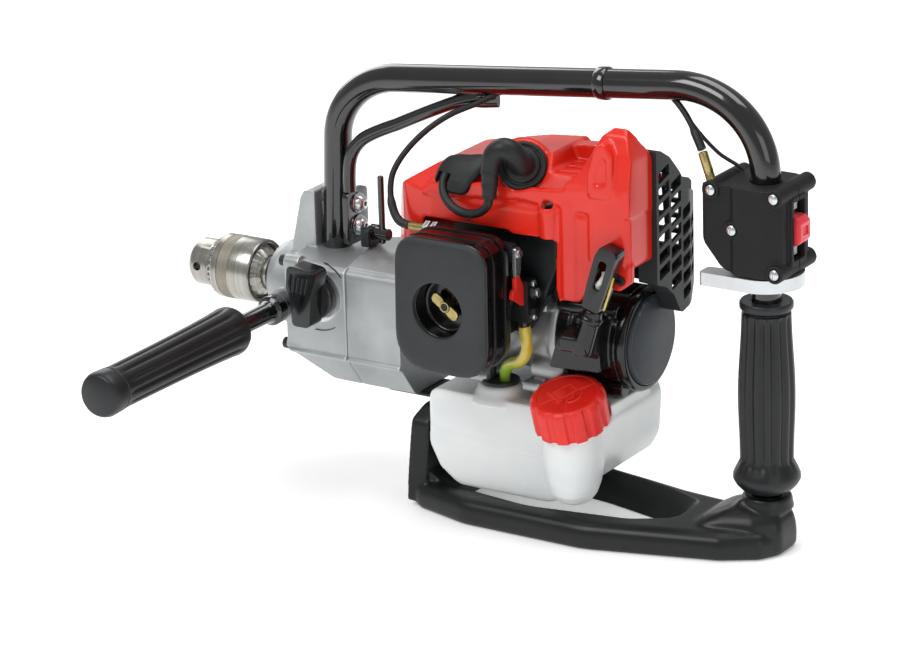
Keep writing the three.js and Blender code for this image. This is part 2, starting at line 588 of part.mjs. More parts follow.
// ---- ignition ----
function ignition() {
  const profile = [[0, 0], [0, 5], [10, 5], [10, 8], [18, 8], [18, 5], [32, 4], [32, 0]];
  add('spark_plug', turnedBetween(profile, PLUG_SEAT, PLUG_TIP, 12), steel());

  const beyond = PLUG_TIP.clone().add(PLUG_WAY);
  const flange = turnedBetween([[1.5, 0], [1.5, 15], [5, 16], [8, 14], [8, 0]], PLUG_TIP, beyond, 20);
  const elbow = swept(through([
    [243, -41, 123], [245, -48, 128], [242, -55, 130], [236, -58.5, 126], [232, -60, 118],
    [230, -60.5, 109]]), 16, 6.5, 10);
  add('plug_boot', geometryOf(joined(flange, elbow)), blackRubber());

  const leadPath = through([
    [229.8, -60.6, 107.8], [227, -60.5, 101], [219, -59.5, 95], [208, -58.5, 93], [198, -57.5, 96],
    [191, -55, 102], [189, -52, 107.5]]);
  add('ignition_lead', swept(leadPath, 22, 3, 8), blackRubber());
  const wedge = alongX(outline([[-59, 99], [-39, 127], [-34, 125], [-53.5, 96]]), 180, 210);
  const bed = coverBody(-0.6);
  const hole = swept(leadPath, 22, 3.8, 8);
  const end = turnedBetween(rod(-1, 6, 3.8), point(189, -52, 107.5), point(188.4, -49.5, 112.5), 8);
  add('lead_guard', geometryOf(cut(solid(wedge).subtract(bed), hole, end)), blackRubber());
}

// ---- frame, brace and clamp ----
function bend(from, corner, to) {
  const ease = 0.56;
  const pull = (end) => end.clone().lerp(corner, ease);
  return new THREE.CubicBezierCurve3(from, pull(from), pull(to), to);
}

function framePaths() {
  const foot = point(63.4, 0, 30);
  const rise = point(67.2, 0, 110);
  const frontTop = point(117, 0, 157.5);
  const jointX = 284;
  const slope = 0.102;
  const topAt = (x) => point(x, 0, 157.5 + (x - 117) * slope);
  const front = new THREE.CurvePath();
  front.add(new THREE.LineCurve3(foot, rise));
  front.add(bend(rise, point(69, 0, 152.6), frontTop));
  front.add(new THREE.LineCurve3(frontTop, topAt(jointX - GAP)));
  const rear = new THREE.CurvePath();
  rear.add(new THREE.LineCurve3(topAt(jointX + GAP), topAt(338)));
  rear.add(bend(topAt(338), point(403.5, 0, 186.7), point(GRIP_X, 0, BOX_TOP + 2)));
  rear.add(new THREE.LineCurve3(point(GRIP_X, 0, BOX_TOP + 2), point(GRIP_X, 0, -120)));
  return { front, rear };
}

function frame() {
  const { front, rear } = framePaths();
  const tube = (path, steps) => solid(swept(path, steps, TUBE_R, 12, TUBE_BORE_R));
  // The throttle cable runs inside the tube between these two holes.
  const cableIn = turnedBetween(rod(0, 26, 5), point(208, 1, 165), point(192, -8, 150), 12);
  const cableOut = turnedBetween(rod(0, 24, 5.2), point(330, 0, 177), point(343, -1, 164), 12);
  add('front_tube', geometryOf(cut(tube(front, 26), cableIn, ...boltHoles(40, 90))), blackGloss());
  add('rear_tube', geometryOf(cut(tube(rear, 28), cableOut)), blackGloss());

  add('brace_tube', swept(through([
    [80.4, -7.5, 73.4], [80.6, -7.5, 86], [83, -7, 100], [92, -6, 112], [120, -4, 126], [150, -1, 140],
    [172, 2, 147], [190, 3, 149]]), 20, 4.7, 9), blackGloss());
  const plate = solid(box(77.2, 81.6, -12.5, 12.5, 34.5, 73));
  add('clamp_plate', geometryOf(cut(plate, ...boltHoles(70, 90))), blackGloss());
  ['clamp_bolt_lower', 'clamp_bolt_upper'].forEach((name, i) => {
    const bolt = turnedX([
      [37, 0], [37, BOLT_R], [81.9, BOLT_R], [81.9, 6.5], [85, 6.2], [88, 4], [88, 0]], 12);
    add(name, bolt, zinc(), [0, 0, BOLT_Z[i]]);
  });
}

// ---- base and rear grip ----
function baseFrame() {
  const rim = new THREE.Shape();
  rim.moveTo(150, -42);
  rim.lineTo(160, -57);
  rim.bezierCurveTo(195, -72, 250, -75, 300, -69);
  rim.quadraticCurveTo(350, -62, 391, -44);
  rim.lineTo(415, -29);
  rim.quadraticCurveTo(BASE_REAR, -20, BASE_REAR, -4);
  rim.quadraticCurveTo(BASE_REAR, 19, 400, 20);
  rim.quadraticCurveTo(330, 28, 264, 41);
  rim.lineTo(160, 57);
  rim.lineTo(150, 42);
  const plate = alongZ(rim, -SPINDLE_HEIGHT, BASE_TOP - 2, 6);
  // The opening's far wall leans inward toward the floor.
  const nearEdge = [[182, -40], [250, -46], [317, -37], [336, -26], [346, -12]];
  const farEdgeTop = [[345, -2], [327, 11], [275, 28], [182, 42]];
  const farEdgeBottom = [[338, -7], [292, 6], [182, 24]];
  const opening = new ConvexGeometry([
    ...nearEdge.flatMap(([x, y]) => [point(x, y, BASE_TOP + 1), point(x, y, -SPINDLE_HEIGHT - 1)]),
    ...farEdgeTop.map(([x, y]) => point(x, y, BASE_TOP + 1)),
    ...farEdgeBottom.map(([x, y]) => point(x, y, -SPINDLE_HEIGHT - 1))]);
  const loop = solid(plate).subtract(solid(opening));
  const wall = alongX(outline([
    [-50, BASE_TOP - 2.5], [-44, -70], [-34, -63], [34, -63], [44, -70], [50, BASE_TOP - 2.5]]), 151, 164);
  const tongue = box(112, 160, -16, 16, -66, -62.4);
  // The block under the rear grip rises from the full width of the base to a round collar.
  const levels = [[-117, 362, 42, 28], [-107, 376, 31, 26], [-100, 386, 19, 16]];
  const corners = levels.flatMap(([z, front, frontHalf, rearHalf]) => [
    point(front, -frontHalf, z), point(front, 15, z), point(412, -rearHalf, z), point(412, 15, z),
    point(BASE_REAR - 4, -rearHalf / 2, z), point(BASE_REAR - 4, 8, z)]);
  const block = new ConvexGeometry(corners);
  const collar = turnedZ(rod(-110, -96, 17), 24).translate(GRIP_X - 3, 0, 0);
  const socket = turnedZ(rod(-120.3, -80, TUBE_R + GAP), 18).translate(GRIP_X, 0, 0);
  const whole = joined(wall, tongue, block, collar).add(loop).subtract(solid(socket));
  add('base_frame', geometryOf(whole), blackPlastic());

  add('rear_grip', turnedZ([
    [-91, 10.4], [-91, 16], [-87, 21], [-79, 22.3], [-70, 18.5], [-40, 17.4], [-12, 18.7], [20, 18],
    [34, 16.8], [38, 17.3], [42, 17.3], [42, 10.4], [-91, 10.4]], 20), blackRubber(), [GRIP_X, 0, 0]);
}

// ---- throttle and switch box on the handle ----
function switchBox() {
  const side = new THREE.Shape();
  side.moveTo(BOX_FRONT, BOX_TOP);
  side.lineTo(BOX_FRONT, 86);
  side.quadraticCurveTo(BOX_FRONT + 3, 69, 385, 66);
  side.lineTo(392, BOX_BOTTOM);
  side.lineTo(BOX_REAR, BOX_BOTTOM);
  side.lineTo(BOX_REAR, BOX_TOP);
  const plan = roundedOutline(BOX_FRONT - 2, BOX_REAR, -24, 24, 7);
  const whole = solid(alongY(side, -30, 30)).intersect(solid(alongZ(plan, 40, 140)));
  const hollow = [
    turnedZ(rod(40, 140, TUBE_R + GAP), 18).translate(GRIP_X, 0, 0),
    box(373, 392, -18, 18, 84, 118),
    box(418, 424, -11, 11, 72, 116),
    box(423, 430, -7.5, 7.5, 74, 114),
    turnedBetween(rod(0.8, 32, 4), ...REAR_FERRULE, 12)];
  const shell = cut(whole, ...hollow);
  const nearHalf = solid(box(300, 500, -60, -GAP / 2, 0, 200));
  const farHalf = solid(box(300, 500, GAP / 2, 60, 0, 200));
  add('switch_box_left', geometryOf(shell.intersect(nearHalf)), blackPlastic());
  add('switch_box_right', geometryOf(shell.intersect(farHalf)), blackPlastic());

  const slider = joined(box(418.6, 422, -8.5, 8.5, 84, 104), box(420, 434, -6.5, 6.5, 84.5, 103.5));
  add('stop_switch', geometryOf(slider), switchPlastic());

  const LEVER_R = 25.5;
  const THICK = 9;
  const arm = outline([
    [BOX_FRONT, -LEVER_R], [GRIP_X, -LEVER_R], [GRIP_X + 10, 0], [398, 0], [388, -10], [BOX_FRONT, -12]]);
  const lever = joined(turnedZ(rod(0, THICK, LEVER_R), 28).translate(GRIP_X, 0, 0), alongZ(arm, 0, THICK));
  const bore = turnedZ(rod(-5, 20, TUBE_R + GAP), 18).translate(GRIP_X, 0, 0);
  add('throttle_lever', geometryOf(cut(lever, bore)), leverAlloy(), [0, 0, LEVER_Z]);
}

// ---- cables ----
const FRONT_FERRULE = [point(160.6, -54, 73), point(200, -54, 74)];
const REAR_FERRULE = [point(366.4, -15.8, 143.4), point(377, -16, 113)];

function cables() {
  add('throttle_cable', swept(through([
    [159.8, -54, 73], [153, -54, 74.5], [147, -52, 80], [142, -48, 90], [140, -42, 103], [145, -33, 117],
    [157, -22, 132], [172, -13, 143], [187, -8.5, 150], [198, -4, 156], [212, 0, 164], [250, 0, 171],
    [284, 0, 174.5], [318, 0, 178], [331, 0, 174.5], [343, -3, 167], [353, -8, 159], [361, -13, 151],
    [366.2, -15.6, 144]]), 48, 2.1, 8), blackRubber());
  add('stop_wire', swept(through([
    [346, 2, 158], [356, 4, 146], [368, 6, 135], [379, 8, 129], [384, 9, 125.6]]),
  14, 1.3, 8), blackRubber());
  add('cable_ferrule_front', turnedBetween([
    [0, 0], [0, 2.9], [13, 2.9], [13, 4.8], [17, 4.8], [17, 3.2], [19, 3.2], [19, 4.8], [23, 4.8], [23, 2],
    [33, 2], [33, 0]], ...FRONT_FERRULE, 12), brass());
  add('cable_ferrule_rear', turnedBetween(rod(0.8, 26, 3.2), ...REAR_FERRULE, 12), brass());
}

function chuckKey() {
  const KEY_Y = -8;
  const KEY_Z = 46;
  const shank = turnedX([[91, 0], [91, 3], [96, 5], [101, 5], [101, 4.4], [113, 4.4], [113, 0]], 14);
  const bar = turnedZ(rod(-7, 42, 2.3), 10).translate(107, 0, 0);
  add('chuck_key', geometryOf(joined(shank, bar)), blackGloss(), [0, KEY_Y, KEY_Z]);
  const block = solid(box(94, 100.5, -8, 8, -9.5, 4));
  const slot = [turnedX(rod(80, 120, 5.3), 14), box(80, 120, -5.3, 5.3, 0, 20)];
  add('key_holder', geometryOf(cut(block, ...slot)), blackRubber(), [0, KEY_Y, KEY_Z]);
}

chuck();
gears();
engine();
gearCase();
gearSelector();
sideHandle();
engineCover();
muffler();
starter();
fuelTank();
carburettor();
airCleaner();
ignition();
frame();
baseFrame();
switchBox();
cables();
chuckKey();

const group = new THREE.Group();
group.add(machine);
export default group;
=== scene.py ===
"""Looks of the petrol drill powerhead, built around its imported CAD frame.

Shapes are drawn in millimetres from the spindle axis: x = 0 is the rear rim of the chuck sleeve and
runs to the rear, y is the operator's right and z is up. TO_FRAME takes them to the frame's metres.
"""

import json
from math import cos, pi, radians, sin, tan

import bmesh
import bpy
from mathutils import Matrix, Vector


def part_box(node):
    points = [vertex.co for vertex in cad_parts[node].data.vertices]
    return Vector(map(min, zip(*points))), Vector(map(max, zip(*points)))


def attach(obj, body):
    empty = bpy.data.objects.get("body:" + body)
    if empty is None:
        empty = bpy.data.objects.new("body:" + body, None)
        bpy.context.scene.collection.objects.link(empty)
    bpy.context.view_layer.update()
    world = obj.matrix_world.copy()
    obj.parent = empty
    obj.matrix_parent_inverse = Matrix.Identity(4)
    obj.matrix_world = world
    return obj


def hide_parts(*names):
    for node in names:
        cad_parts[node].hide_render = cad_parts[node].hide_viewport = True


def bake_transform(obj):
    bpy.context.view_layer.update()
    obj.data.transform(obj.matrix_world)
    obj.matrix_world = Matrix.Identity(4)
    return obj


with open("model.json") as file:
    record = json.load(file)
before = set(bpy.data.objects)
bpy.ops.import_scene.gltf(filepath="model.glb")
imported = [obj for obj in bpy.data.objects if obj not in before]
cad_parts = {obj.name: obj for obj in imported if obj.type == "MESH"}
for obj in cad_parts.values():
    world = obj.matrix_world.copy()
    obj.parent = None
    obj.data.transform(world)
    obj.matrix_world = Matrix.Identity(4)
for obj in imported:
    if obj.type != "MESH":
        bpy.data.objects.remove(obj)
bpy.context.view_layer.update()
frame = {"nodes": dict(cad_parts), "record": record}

MM = 0.001
sleeve_low, sleeve_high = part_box("chuck_sleeve")
grip_low, grip_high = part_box("rear_grip")
SPINDLE = Vector((sleeve_high.x, 0, (sleeve_low.z + sleeve_high.z) / 2))
TO_FRAME = Matrix.Translation(SPINDLE) @ Matrix.Scale(MM, 4)
GRIP_X = ((grip_low.x + grip_high.x) / 2 - SPINDLE.x) / MM
GRIP_AXIS = (GRIP_X, 0)
GAP = 0.3
TAU = 2 * pi


def local_box(node):
    """A CAD node's box in the drawing's millimetres."""
    low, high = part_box(node)
    return (low - SPINDLE) / MM, (high - SPINDLE) / MM


# ---- mesh helpers, all in drawing millimetres ----
def along(axis, flat, distance):
    """A point whose two flat coordinates are those other than axis, in X, Y, Z order."""
    a, b = flat
    return {"x": (distance, a, b), "y": (a, distance, b), "z": (a, b, distance)}[axis]


def tidy(bm):
    bmesh.ops.remove_doubles(bm, verts=bm.verts, dist=1e-4)
    bmesh.ops.recalc_face_normals(bm, faces=bm.faces)
    return bm


def skin(rings, closed=False, caps=True):
    """Joins rings of equally many points into a skin."""
    bm = bmesh.new()
    loops = [[bm.verts.new(p) for p in ring] for ring in rings]
    pairs = list(zip(loops, loops[1:])) + ([(loops[-1], loops[0])] if closed else [])
    for first, second in pairs:
        for i in range(len(first)):
            j = (i + 1) % len(first)
            bm.faces.new((first[i], first[j], second[j], second[i]))
    if caps and not closed:
        bm.faces.new(loops[0])
        bm.faces.new(loops[-1])
    return tidy(bm)


def turned(profile, axis="x", centre=(0, 0), sides=64, shape=None):
    """Turns (distance, radius) pairs about an axis. shape(angle, distance, radius) may change the radius."""
    shape = shape or (lambda angle, distance, radius: radius)
    closed = profile[0][1] > 0 and profile[-1][1] > 0
    rings = []
    for distance, radius in profile:
        ring = []
        for i in range(sides):
            angle = TAU * i / sides
            r = max(shape(angle, distance, radius), 1e-5)
            flat = (centre[0] + r * cos(angle), centre[1] + r * sin(angle))
            ring.append(along(axis, flat, distance))
        rings.append(ring)
    return skin(rings, closed=closed, caps=True)


def rod(low, high, radius):
    return [(low, 0), (low, radius), (high, radius), (high, 0)]


def peg(low, high, radius, axis="x", centre=(0, 0), sides=64):
    return turned(rod(low, high, radius), axis, centre, sides)


def aimed(bm, start, end):
    """Moves a shape turned about z so that its axis runs from start towards end."""
    way = Vector(end) - Vector(start)
    turn = Vector((0, 0, 1)).rotation_difference(way).to_matrix().to_4x4()
    bm.transform(Matrix.Translation(start) @ turn)
    return bm


def filleted(corners, radius=2.0, steps=6):
    """An outline from (a, b) or (a, b, radius) corners, each rounded by its radius."""
    points = []
    count = len(corners)
    for i, corner in enumerate(corners):
        here = Vector(corner[:2])
        r = corner[2] if len(corner) > 2 else radius
        before = Vector(corners[i - 1][:2]) - here
        after = Vector(corners[(i + 1) % count][:2]) - here
        half = before.angle(after) / 2
        if r <= 0:
            points.append(here[:])
            continue
        back = min(max(r / tan(half), 0.3), 0.48 * before.length, 0.48 * after.length)
        start = here + before.normalized() * back
        end = here + after.normalized() * back
        for k in range(steps + 1):
            t = k / steps
            points.append(((1 - t) ** 2 * start + 2 * t * (1 - t) * here + t * t * end)[:])
    return points


def rounded_box_outline(a0, a1, b0, b1, radius, steps=8):
    return filleted([(a0, b0), (a1, b0), (a1, b1), (a0, b1)], radius, steps)


def prism(outline, axis, low, high):
    return skin([[along(axis, p, low) for p in outline], [along(axis, p, high) for p in outline]])


def slab(corners, axis, low, high, radius=2.0, steps=6):
    """A flat shape with rounded corners, from low to high along axis."""
    return prism(filleted(corners, radius, steps), axis, low, high)


def block(x0, x1, y0, y1, z0, z1):
    return prism([(y0, z0), (y1, z0), (y1, z1), (y0, z1)], "x", x0, x1)


def hex_socket(y, z, low, high):
    """The tool for a hexagon socket along x, 2 mm from its middle to its corners."""
    corners = [(y + 2 * cos(TAU * i / 6), z + 2 * sin(TAU * i / 6)) for i in range(6)]
    return prism(corners, "x", low, high)


def clamped(value):
    return max(0, min(1, value))


def between(first, second, start, end, t):
    """The point at t on the line that is at first when t is start and at second when t is end."""
    return ((end - t) * first + (t - start) * second) / (end - start)


def curve_points(points, count=60):
    """A smooth line through points, as count + 1 evenly spaced points."""
    pts = [Vector(p) for p in points]
    pts = [2 * pts[0] - pts[1]] + pts + [2 * pts[-1] - pts[-2]]
    fine = []
    for i in range(1, len(pts) - 2):
        knots = [0.0]
        for a, b in zip(pts[i - 1:i + 3], pts[i:i + 3]):
            knots.append(knots[-1] + max((b - a).length, 1e-6) ** 0.5)
        for k in range(24):
            t = knots[1] + (knots[2] - knots[1]) * k / 24
            row = pts[i - 1:i + 3]
            for level in (1, 2, 3):
                row = [between(row[j], row[j + 1], knots[j], knots[j + level], t) for j in range(4 - level)]
            fine.append(row[0])
    fine.append(pts[-2])
    return spaced(fine, count)


def spaced(line, count):
    lengths = [0.0]
    for a, b in zip(line, line[1:]):
        lengths.append(lengths[-1] + (b - a).length)
    out = []
    k = 0
    for i in range(count + 1):
        want = lengths[-1] * i / count
        while k < len(line) - 2 and lengths[k + 1] < want:
            k += 1
        step = lengths[k + 1] - lengths[k]
        out.append(line[k].lerp(line[k + 1], 0 if step == 0 else min(1, (want - lengths[k]) / step)))
    return out


def bezier(a, b, c, d, count=24):
    a, b, c, d = (Vector(p) for p in (a, b, c, d))
    out = []
    for i in range(count + 1):
        t = i / count
        out.append((1 - t) ** 3 * a + 3 * t * (1 - t) ** 2 * b + 3 * t * t * (1 - t) * c + t ** 3 * d)
    return out


def swept(line, radius, sides=24, bore=0):
    """A tube along a line of points. radius is a number, or a function of the share of the way along
    that gives a radius, or two for an oval."""
    line = [Vector(p) for p in line]
    ways = [(line[min(i + 1, len(line) - 1)] - line[max(i - 1, 0)]).normalized() for i in range(len(line))]
    side = ways[0].orthogonal().normalized()
    if abs(ways[0].y) < 0.9:
        side = ways[0].cross(Vector((0, 1, 0))).cross(ways[0]).normalized()
    rings, inner = [], []
    for i, (p, way) in enumerate(zip(line, ways)):
        side = (side - way * side.dot(way)).normalized()
        other = way.cross(side)
        r = radius(i / (len(line) - 1)) if callable(radius) else radius
        wide, tall = r if isinstance(r, tuple) else (r, r)
        angles = [TAU * k / sides for k in range(sides)]
        rings.append([p + side * wide * cos(t) + other * tall * sin(t) for t in angles])
        inner.append([p + (side * cos(t) + other * sin(t)) * bore for t in angles])
    if not bore:
        return skin(rings)
    return skin(rings + inner[::-1], closed=True)


# ---- from shapes to pieces ----
def mesh_object(bm, name="shape"):
    mesh = bpy.data.meshes.new(name)
    bm.to_mesh(mesh)
    obj = bpy.data.objects.new(name, mesh)
    bpy.context.scene.collection.objects.link(obj)
    return obj


def applied(obj):
    """The object's mesh after its modifiers, as a bmesh. The object is removed."""
    graph = bpy.context.evaluated_depsgraph_get()
    mesh = bpy.data.meshes.new_from_object(obj.evaluated_get(graph))
    bm = bmesh.new()
    bm.from_mesh(mesh)
    bpy.data.objects.remove(obj)
    bpy.data.meshes.remove(mesh)
    return bm


def carved(base, add=(), cut=(), keep=(), late=()):
    """Joins shapes to base, then cuts others from it, then keeps what is inside others, then joins late."""
    obj = mesh_object(base)
    tools = []
    for kind, shapes in (("UNION", add), ("DIFFERENCE", cut), ("INTERSECT", keep), ("UNION", late)):
        for bm in shapes:
            tool = mesh_object(bm, "tool")
            tools.append(tool)
            step = obj.modifiers.new(kind, "BOOLEAN")
            step.operation = kind
            step.solver = "MANIFOLD"
            step.object = tool
    result = applied(obj)
    for tool in tools:
        bpy.data.objects.remove(tool)
    return result


def moulded(bm, voxel, rounds):
    """Rounds every edge, as casting and moulding do. More rounds of smoothing round it more."""
    obj = mesh_object(bm)
    remesh = obj.modifiers.new("remesh", "REMESH")
    remesh.mode = "VOXEL"
    remesh.voxel_size = voxel
    remesh.adaptivity = 0
    relax = obj.modifiers.new("relax", "SMOOTH")
    relax.factor = 0.5
    relax.iterations = rounds
    return applied(obj)


def edged(bm, width=0.5, segments=3, angle=32):
    """Rounds the sharp edges of a shape whose faces are otherwise kept."""
    obj = mesh_object(bm)
    bevel = obj.modifiers.new("bevel", "BEVEL")
    bevel.width = width
    bevel.segments = segments
    bevel.limit_method = "ANGLE"
    bevel.angle_limit = radians(angle)
    bevel.miter_outer = "MITER_ARC"
    return applied(obj)


def joined(*shapes):
    """Puts closed shapes into one mesh, without joining their surfaces. Of one shape it makes a copy."""
    whole = bmesh.new()
    for bm in shapes:
        mesh = bpy.data.meshes.new("part")
        bm.to_mesh(mesh)
        whole.from_mesh(mesh)
        bpy.data.meshes.remove(mesh)
    return whole


def piece(name, bm, look, body, stands_for=(), sharp=38):
    """Makes the final object: in metres, shaded, with its material, riding on its body if it has one."""
    bm.transform(TO_FRAME)
    mesh = bpy.data.meshes.new(name)
    bm.to_mesh(mesh)
    bm.free()
    mesh.shade_smooth()
    mesh.set_sharp_from_angle(angle=radians(sharp))
    obj = bpy.data.objects.new(name, mesh)
    bpy.context.scene.collection.objects.link(obj)
    slot_name, material = look
    mesh.materials.append(material)
    if body:
        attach(obj, body)
    if stands_for:
        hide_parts(*([stands_for] if isinstance(stands_for, str) else stands_for))
    return obj


# ---- materials ----
def linear(hex_colour):
    """Linear RGB of a #rrggbb colour."""
    parts = [int(hex_colour[i:i + 2], 16) / 255 for i in (1, 3, 5)]
    return [c / 12.92 if c <= 0.04045 else ((c + 0.055) / 1.055) ** 2.4 for c in parts] + [1]


class Nodes:
    """A short way to write a material's node tree."""

    def __init__(self, name):
        self.material = bpy.data.materials.new(name)
        self.material.use_nodes = True
        self.tree = self.material.node_tree
        self.shader = self.tree.nodes["Principled BSDF"]
        self.place = self.node("ShaderNodeTexCoord").outputs["Object"]

    def node(self, kind, **settings):
        made = self.tree.nodes.new(kind)
        for key, value in settings.items():
            setattr(made, key, value)
        return made

    def put(self, value, socket):
        if isinstance(value, bpy.types.NodeSocket):
            self.tree.links.new(value, socket)
        else:
            socket.default_value = value

    def stretched(self, scale):
        mapping = self.node("ShaderNodeMapping")
        self.put(self.place, mapping.inputs["Vector"])
        mapping.inputs["Scale"].default_value = scale
        return mapping.outputs["Vector"]

    def noise(self, scale, detail=3, rough=0.55, place=None):
        made = self.node("ShaderNodeTexNoise")
        self.put(place or self.place, made.inputs["Vector"])
        made.inputs["Scale"].default_value = scale
        made.inputs["Detail"].default_value = detail
        made.inputs["Roughness"].default_value = rough
        return made.outputs["Fac"]

    def cells(self, scale):
        made = self.node("ShaderNodeTexVoronoi")
        self.put(self.place, made.inputs["Vector"])
        made.inputs["Scale"].default_value = scale
        return made.outputs["Distance"]

    def span(self, value, low, high, start=0.0, end=1.0):
        made = self.node("ShaderNodeMapRange")
        self.put(value, made.inputs["Value"])
        for key, number in (("From Min", start), ("From Max", end), ("To Min", low), ("To Max", high)):
            made.inputs[key].default_value = number
        return made.outputs["Result"]

    def mixed(self, share, first, second):
        made = self.node("ShaderNodeMix", data_type="RGBA")
        self.put(share, made.inputs["Factor"])
        self.put(first, made.inputs["A"])
        self.put(second, made.inputs["B"])
        return made.outputs["Result"]

    def worn(self, low=0.52, high=0.62):
        """A mask of the convex edges, where paint and plastic rub thin."""
        return self.span(self.node("ShaderNodeNewGeometry").outputs["Pointiness"], 0, 1, low, high)

    def bump(self, height, strength, distance=0.0003, below=None):
        made = self.node("ShaderNodeBump")
        made.inputs["Strength"].default_value = strength
        made.inputs["Distance"].default_value = distance
        self.put(height, made.inputs["Height"])
        if below is not None:
            self.put(below, made.inputs["Normal"])
        return made.outputs["Normal"]

    def finish(self, colour, rough, normal=None, **fixed):
        self.put(colour, self.shader.inputs["Base Color"])
        self.put(rough, self.shader.inputs["Roughness"])
        if normal is not None:
            self.put(normal, self.shader.inputs["Normal"])
        for key, value in fixed.items():
            self.shader.inputs[key.replace("_", " ")].default_value = value
        return self.material


def moulding(name, colour, second, rough, grain=2600, bump=0.25, edge=None, **fixed):
    """Moulded plastic or rubber: two close tones, a fine texture and rubbed edges."""
    n = Nodes(name)
    tone = n.mixed(n.span(n.noise(28, 4), 0, 1, 0.35, 0.65), linear(colour), linear(second))
    if edge:
        tone = n.mixed(n.worn(), tone, linear(edge))
    shine = n.span(n.noise(40, 2), rough - 0.03, rough + 0.05)
    return n.finish(tone, shine, n.bump(n.noise(grain, 2), bump, 0.00012), **fixed)


def cast_aluminium():
    n = Nodes("cast_aluminium")
    tone = n.mixed(n.span(n.noise(22, 5), 0, 1, 0.3, 0.7), linear("#9b9fa0"), linear("#b6babb"))
    tone = n.mixed(n.span(n.cells(900), 0, 0.16, 0.25, 0.0), tone, linear("#6f7375"))
    tone = n.mixed(n.worn(), tone, linear("#e2e5e6"))
    skin_bump = n.bump(n.noise(1500, 3), 0.4, 0.00016, n.bump(n.noise(160, 3), 0.16, 0.0008))
    return n.finish(tone, n.span(n.noise(60, 4), 0.36, 0.56), skin_bump, Metallic=0.72)


def turned_steel(name, colour, second, rough=0.2):
    """Bright steel with the fine rings of a lathe, which run round X."""
    n = Nodes(name)
    rings = n.noise(900, 2, place=n.stretched((1, 0.004, 0.004)))
    patches = n.noise(35, 4)
    tone = n.mixed(n.span(rings, 0.1, 0.9, 0.3, 0.7), linear(colour), linear(second))
    tone = n.mixed(n.span(patches, 0, 0.35, 0.55, 0.8), tone, linear("#8a8a84"))
    return n.finish(tone, n.span(patches, rough - 0.05, rough + 0.14),
        n.bump(rings, 0.18, 0.0001), Metallic=1.0)


def gloss_paint():
    n = Nodes("gloss_black_paint")
    tone = n.mixed(n.span(n.noise(40, 3), 0, 1, 0.4, 0.7), linear("#08090a"), linear("#121415"))
    tone = n.mixed(n.worn(0.56, 0.66), tone, linear("#2b2e30"))
    peel = n.bump(n.noise(420, 2), 0.06, 0.0004)
    return n.finish(tone, n.span(n.noise(120, 3), 0.1, 0.2), peel, Coat_Weight=0.8, Coat_Roughness=0.05)


def milky_tank():
    n = Nodes("milky_tank")
    tone = n.mixed(n.span(n.noise(9, 4), 0, 1, 0.35, 0.65), linear("#d8dddd"), linear("#eef1f0"))
    flow = n.bump(n.noise(45, 2), 0.12, 0.0009, n.bump(n.noise(1500, 2), 0.1, 0.0001))
    return n.finish(tone, n.span(n.noise(70, 3), 0.3, 0.42), flow, Subsurface_Weight=0.45,
        Subsurface_Radius=(0.012, 0.012, 0.011), Subsurface_Scale=0.6, Coat_Weight=0.15)


def clear_hose():
    n = Nodes("clear_hose")
    height = n.node("ShaderNodeSeparateXYZ")
    n.put(n.place, height.inputs["Vector"])
    low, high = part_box("fuel_hose")
    share = n.span(height.outputs["Z"], 0, 1, low.z + 0.02, low.z + 0.34 * (high.z - low.z) + 0.012)
    tone = n.mixed(share, linear("#8fbb3c"), linear("#cdb431"))
    tone = n.mixed(n.span(n.noise(160, 3), 0, 0.35, 0.4, 0.8), tone, linear("#e2d873"))
    return n.finish(tone, n.span(n.noise(80, 2), 0.12, 0.24), n.bump(n.noise(500, 2), 0.1), Coat_Weight=0.5,
        Subsurface_Weight=0.35, Subsurface_Radius=(0.004, 0.004, 0.002), Subsurface_Scale=0.4)


def foam():
    n = Nodes("filter_foam")
    tone = n.mixed(n.span(n.cells(1400), 0, 1, 0.1, 0.5), linear("#2c2d29"), linear("#73756c"))
    return n.finish(tone, 0.95, n.bump(n.cells(1400), 0.9, 0.0006), Sheen_Weight=0.2)


def yellow_plate(name, colour, second):
    """Yellow passivated plating: two brass tones mixed in fine patches."""
    n = Nodes(name)
    tone = n.mixed(n.span(n.noise(180, 3), 0, 1, 0.35, 0.65), linear(colour), linear(second))
    return n.finish(tone, n.span(n.noise(220, 3), 0.2, 0.38),
        n.bump(n.noise(900, 2), 0.15, 0.0001), Metallic=1.0)


def satin_metal(name, colour, second, rough=0.35):
    n = Nodes(name)
    tone = n.mixed(n.span(n.noise(50, 4), 0, 1, 0.3, 0.7), linear(colour), linear(second))
    brushed = n.noise(1600, 2, place=n.stretched((0.05, 1, 1)))
    return n.finish(tone, n.span(n.noise(90, 3), rough - 0.06, rough + 0.1),
        n.bump(brushed, 0.15, 0.0001), Metallic=0.9)


ALUMINIUM = ("cast_aluminium", cast_aluminium())
STEEL = ("bright_steel", turned_steel("bright_steel", "#b5b4ad", "#93918a", 0.24))
KNURL = ("bright_steel", turned_steel("knurled_steel", "#a59e92", "#8d867b", 0.42))
DARK_STEEL = ("dark_steel", satin_metal("dark_steel", "#4a4c4e", "#2c2e30", 0.4))
CARBURETTOR = ("cast_aluminium", satin_metal("carburettor_metal", "#4d5052", "#333537", 0.4))
PAINT = ("gloss_black_tube", gloss_paint())
BLACK = ("black_plastic", moulding("black_plastic", "#0e1011", "#15181a", 0.44, 1800, 0.3, "#24282a",
    Specular_IOR_Level=0.32))
BASE = ("black_plastic", moulding("base_plastic", "#0d0f10", "#131617", 0.36, 900, 0.1, "#222628",
    Specular_IOR_Level=0.4))
SHINY = ("black_plastic", moulding("shiny_plastic", "#060708", "#0c0d0e", 0.17, 500, 0.05, "#1b1e20"))
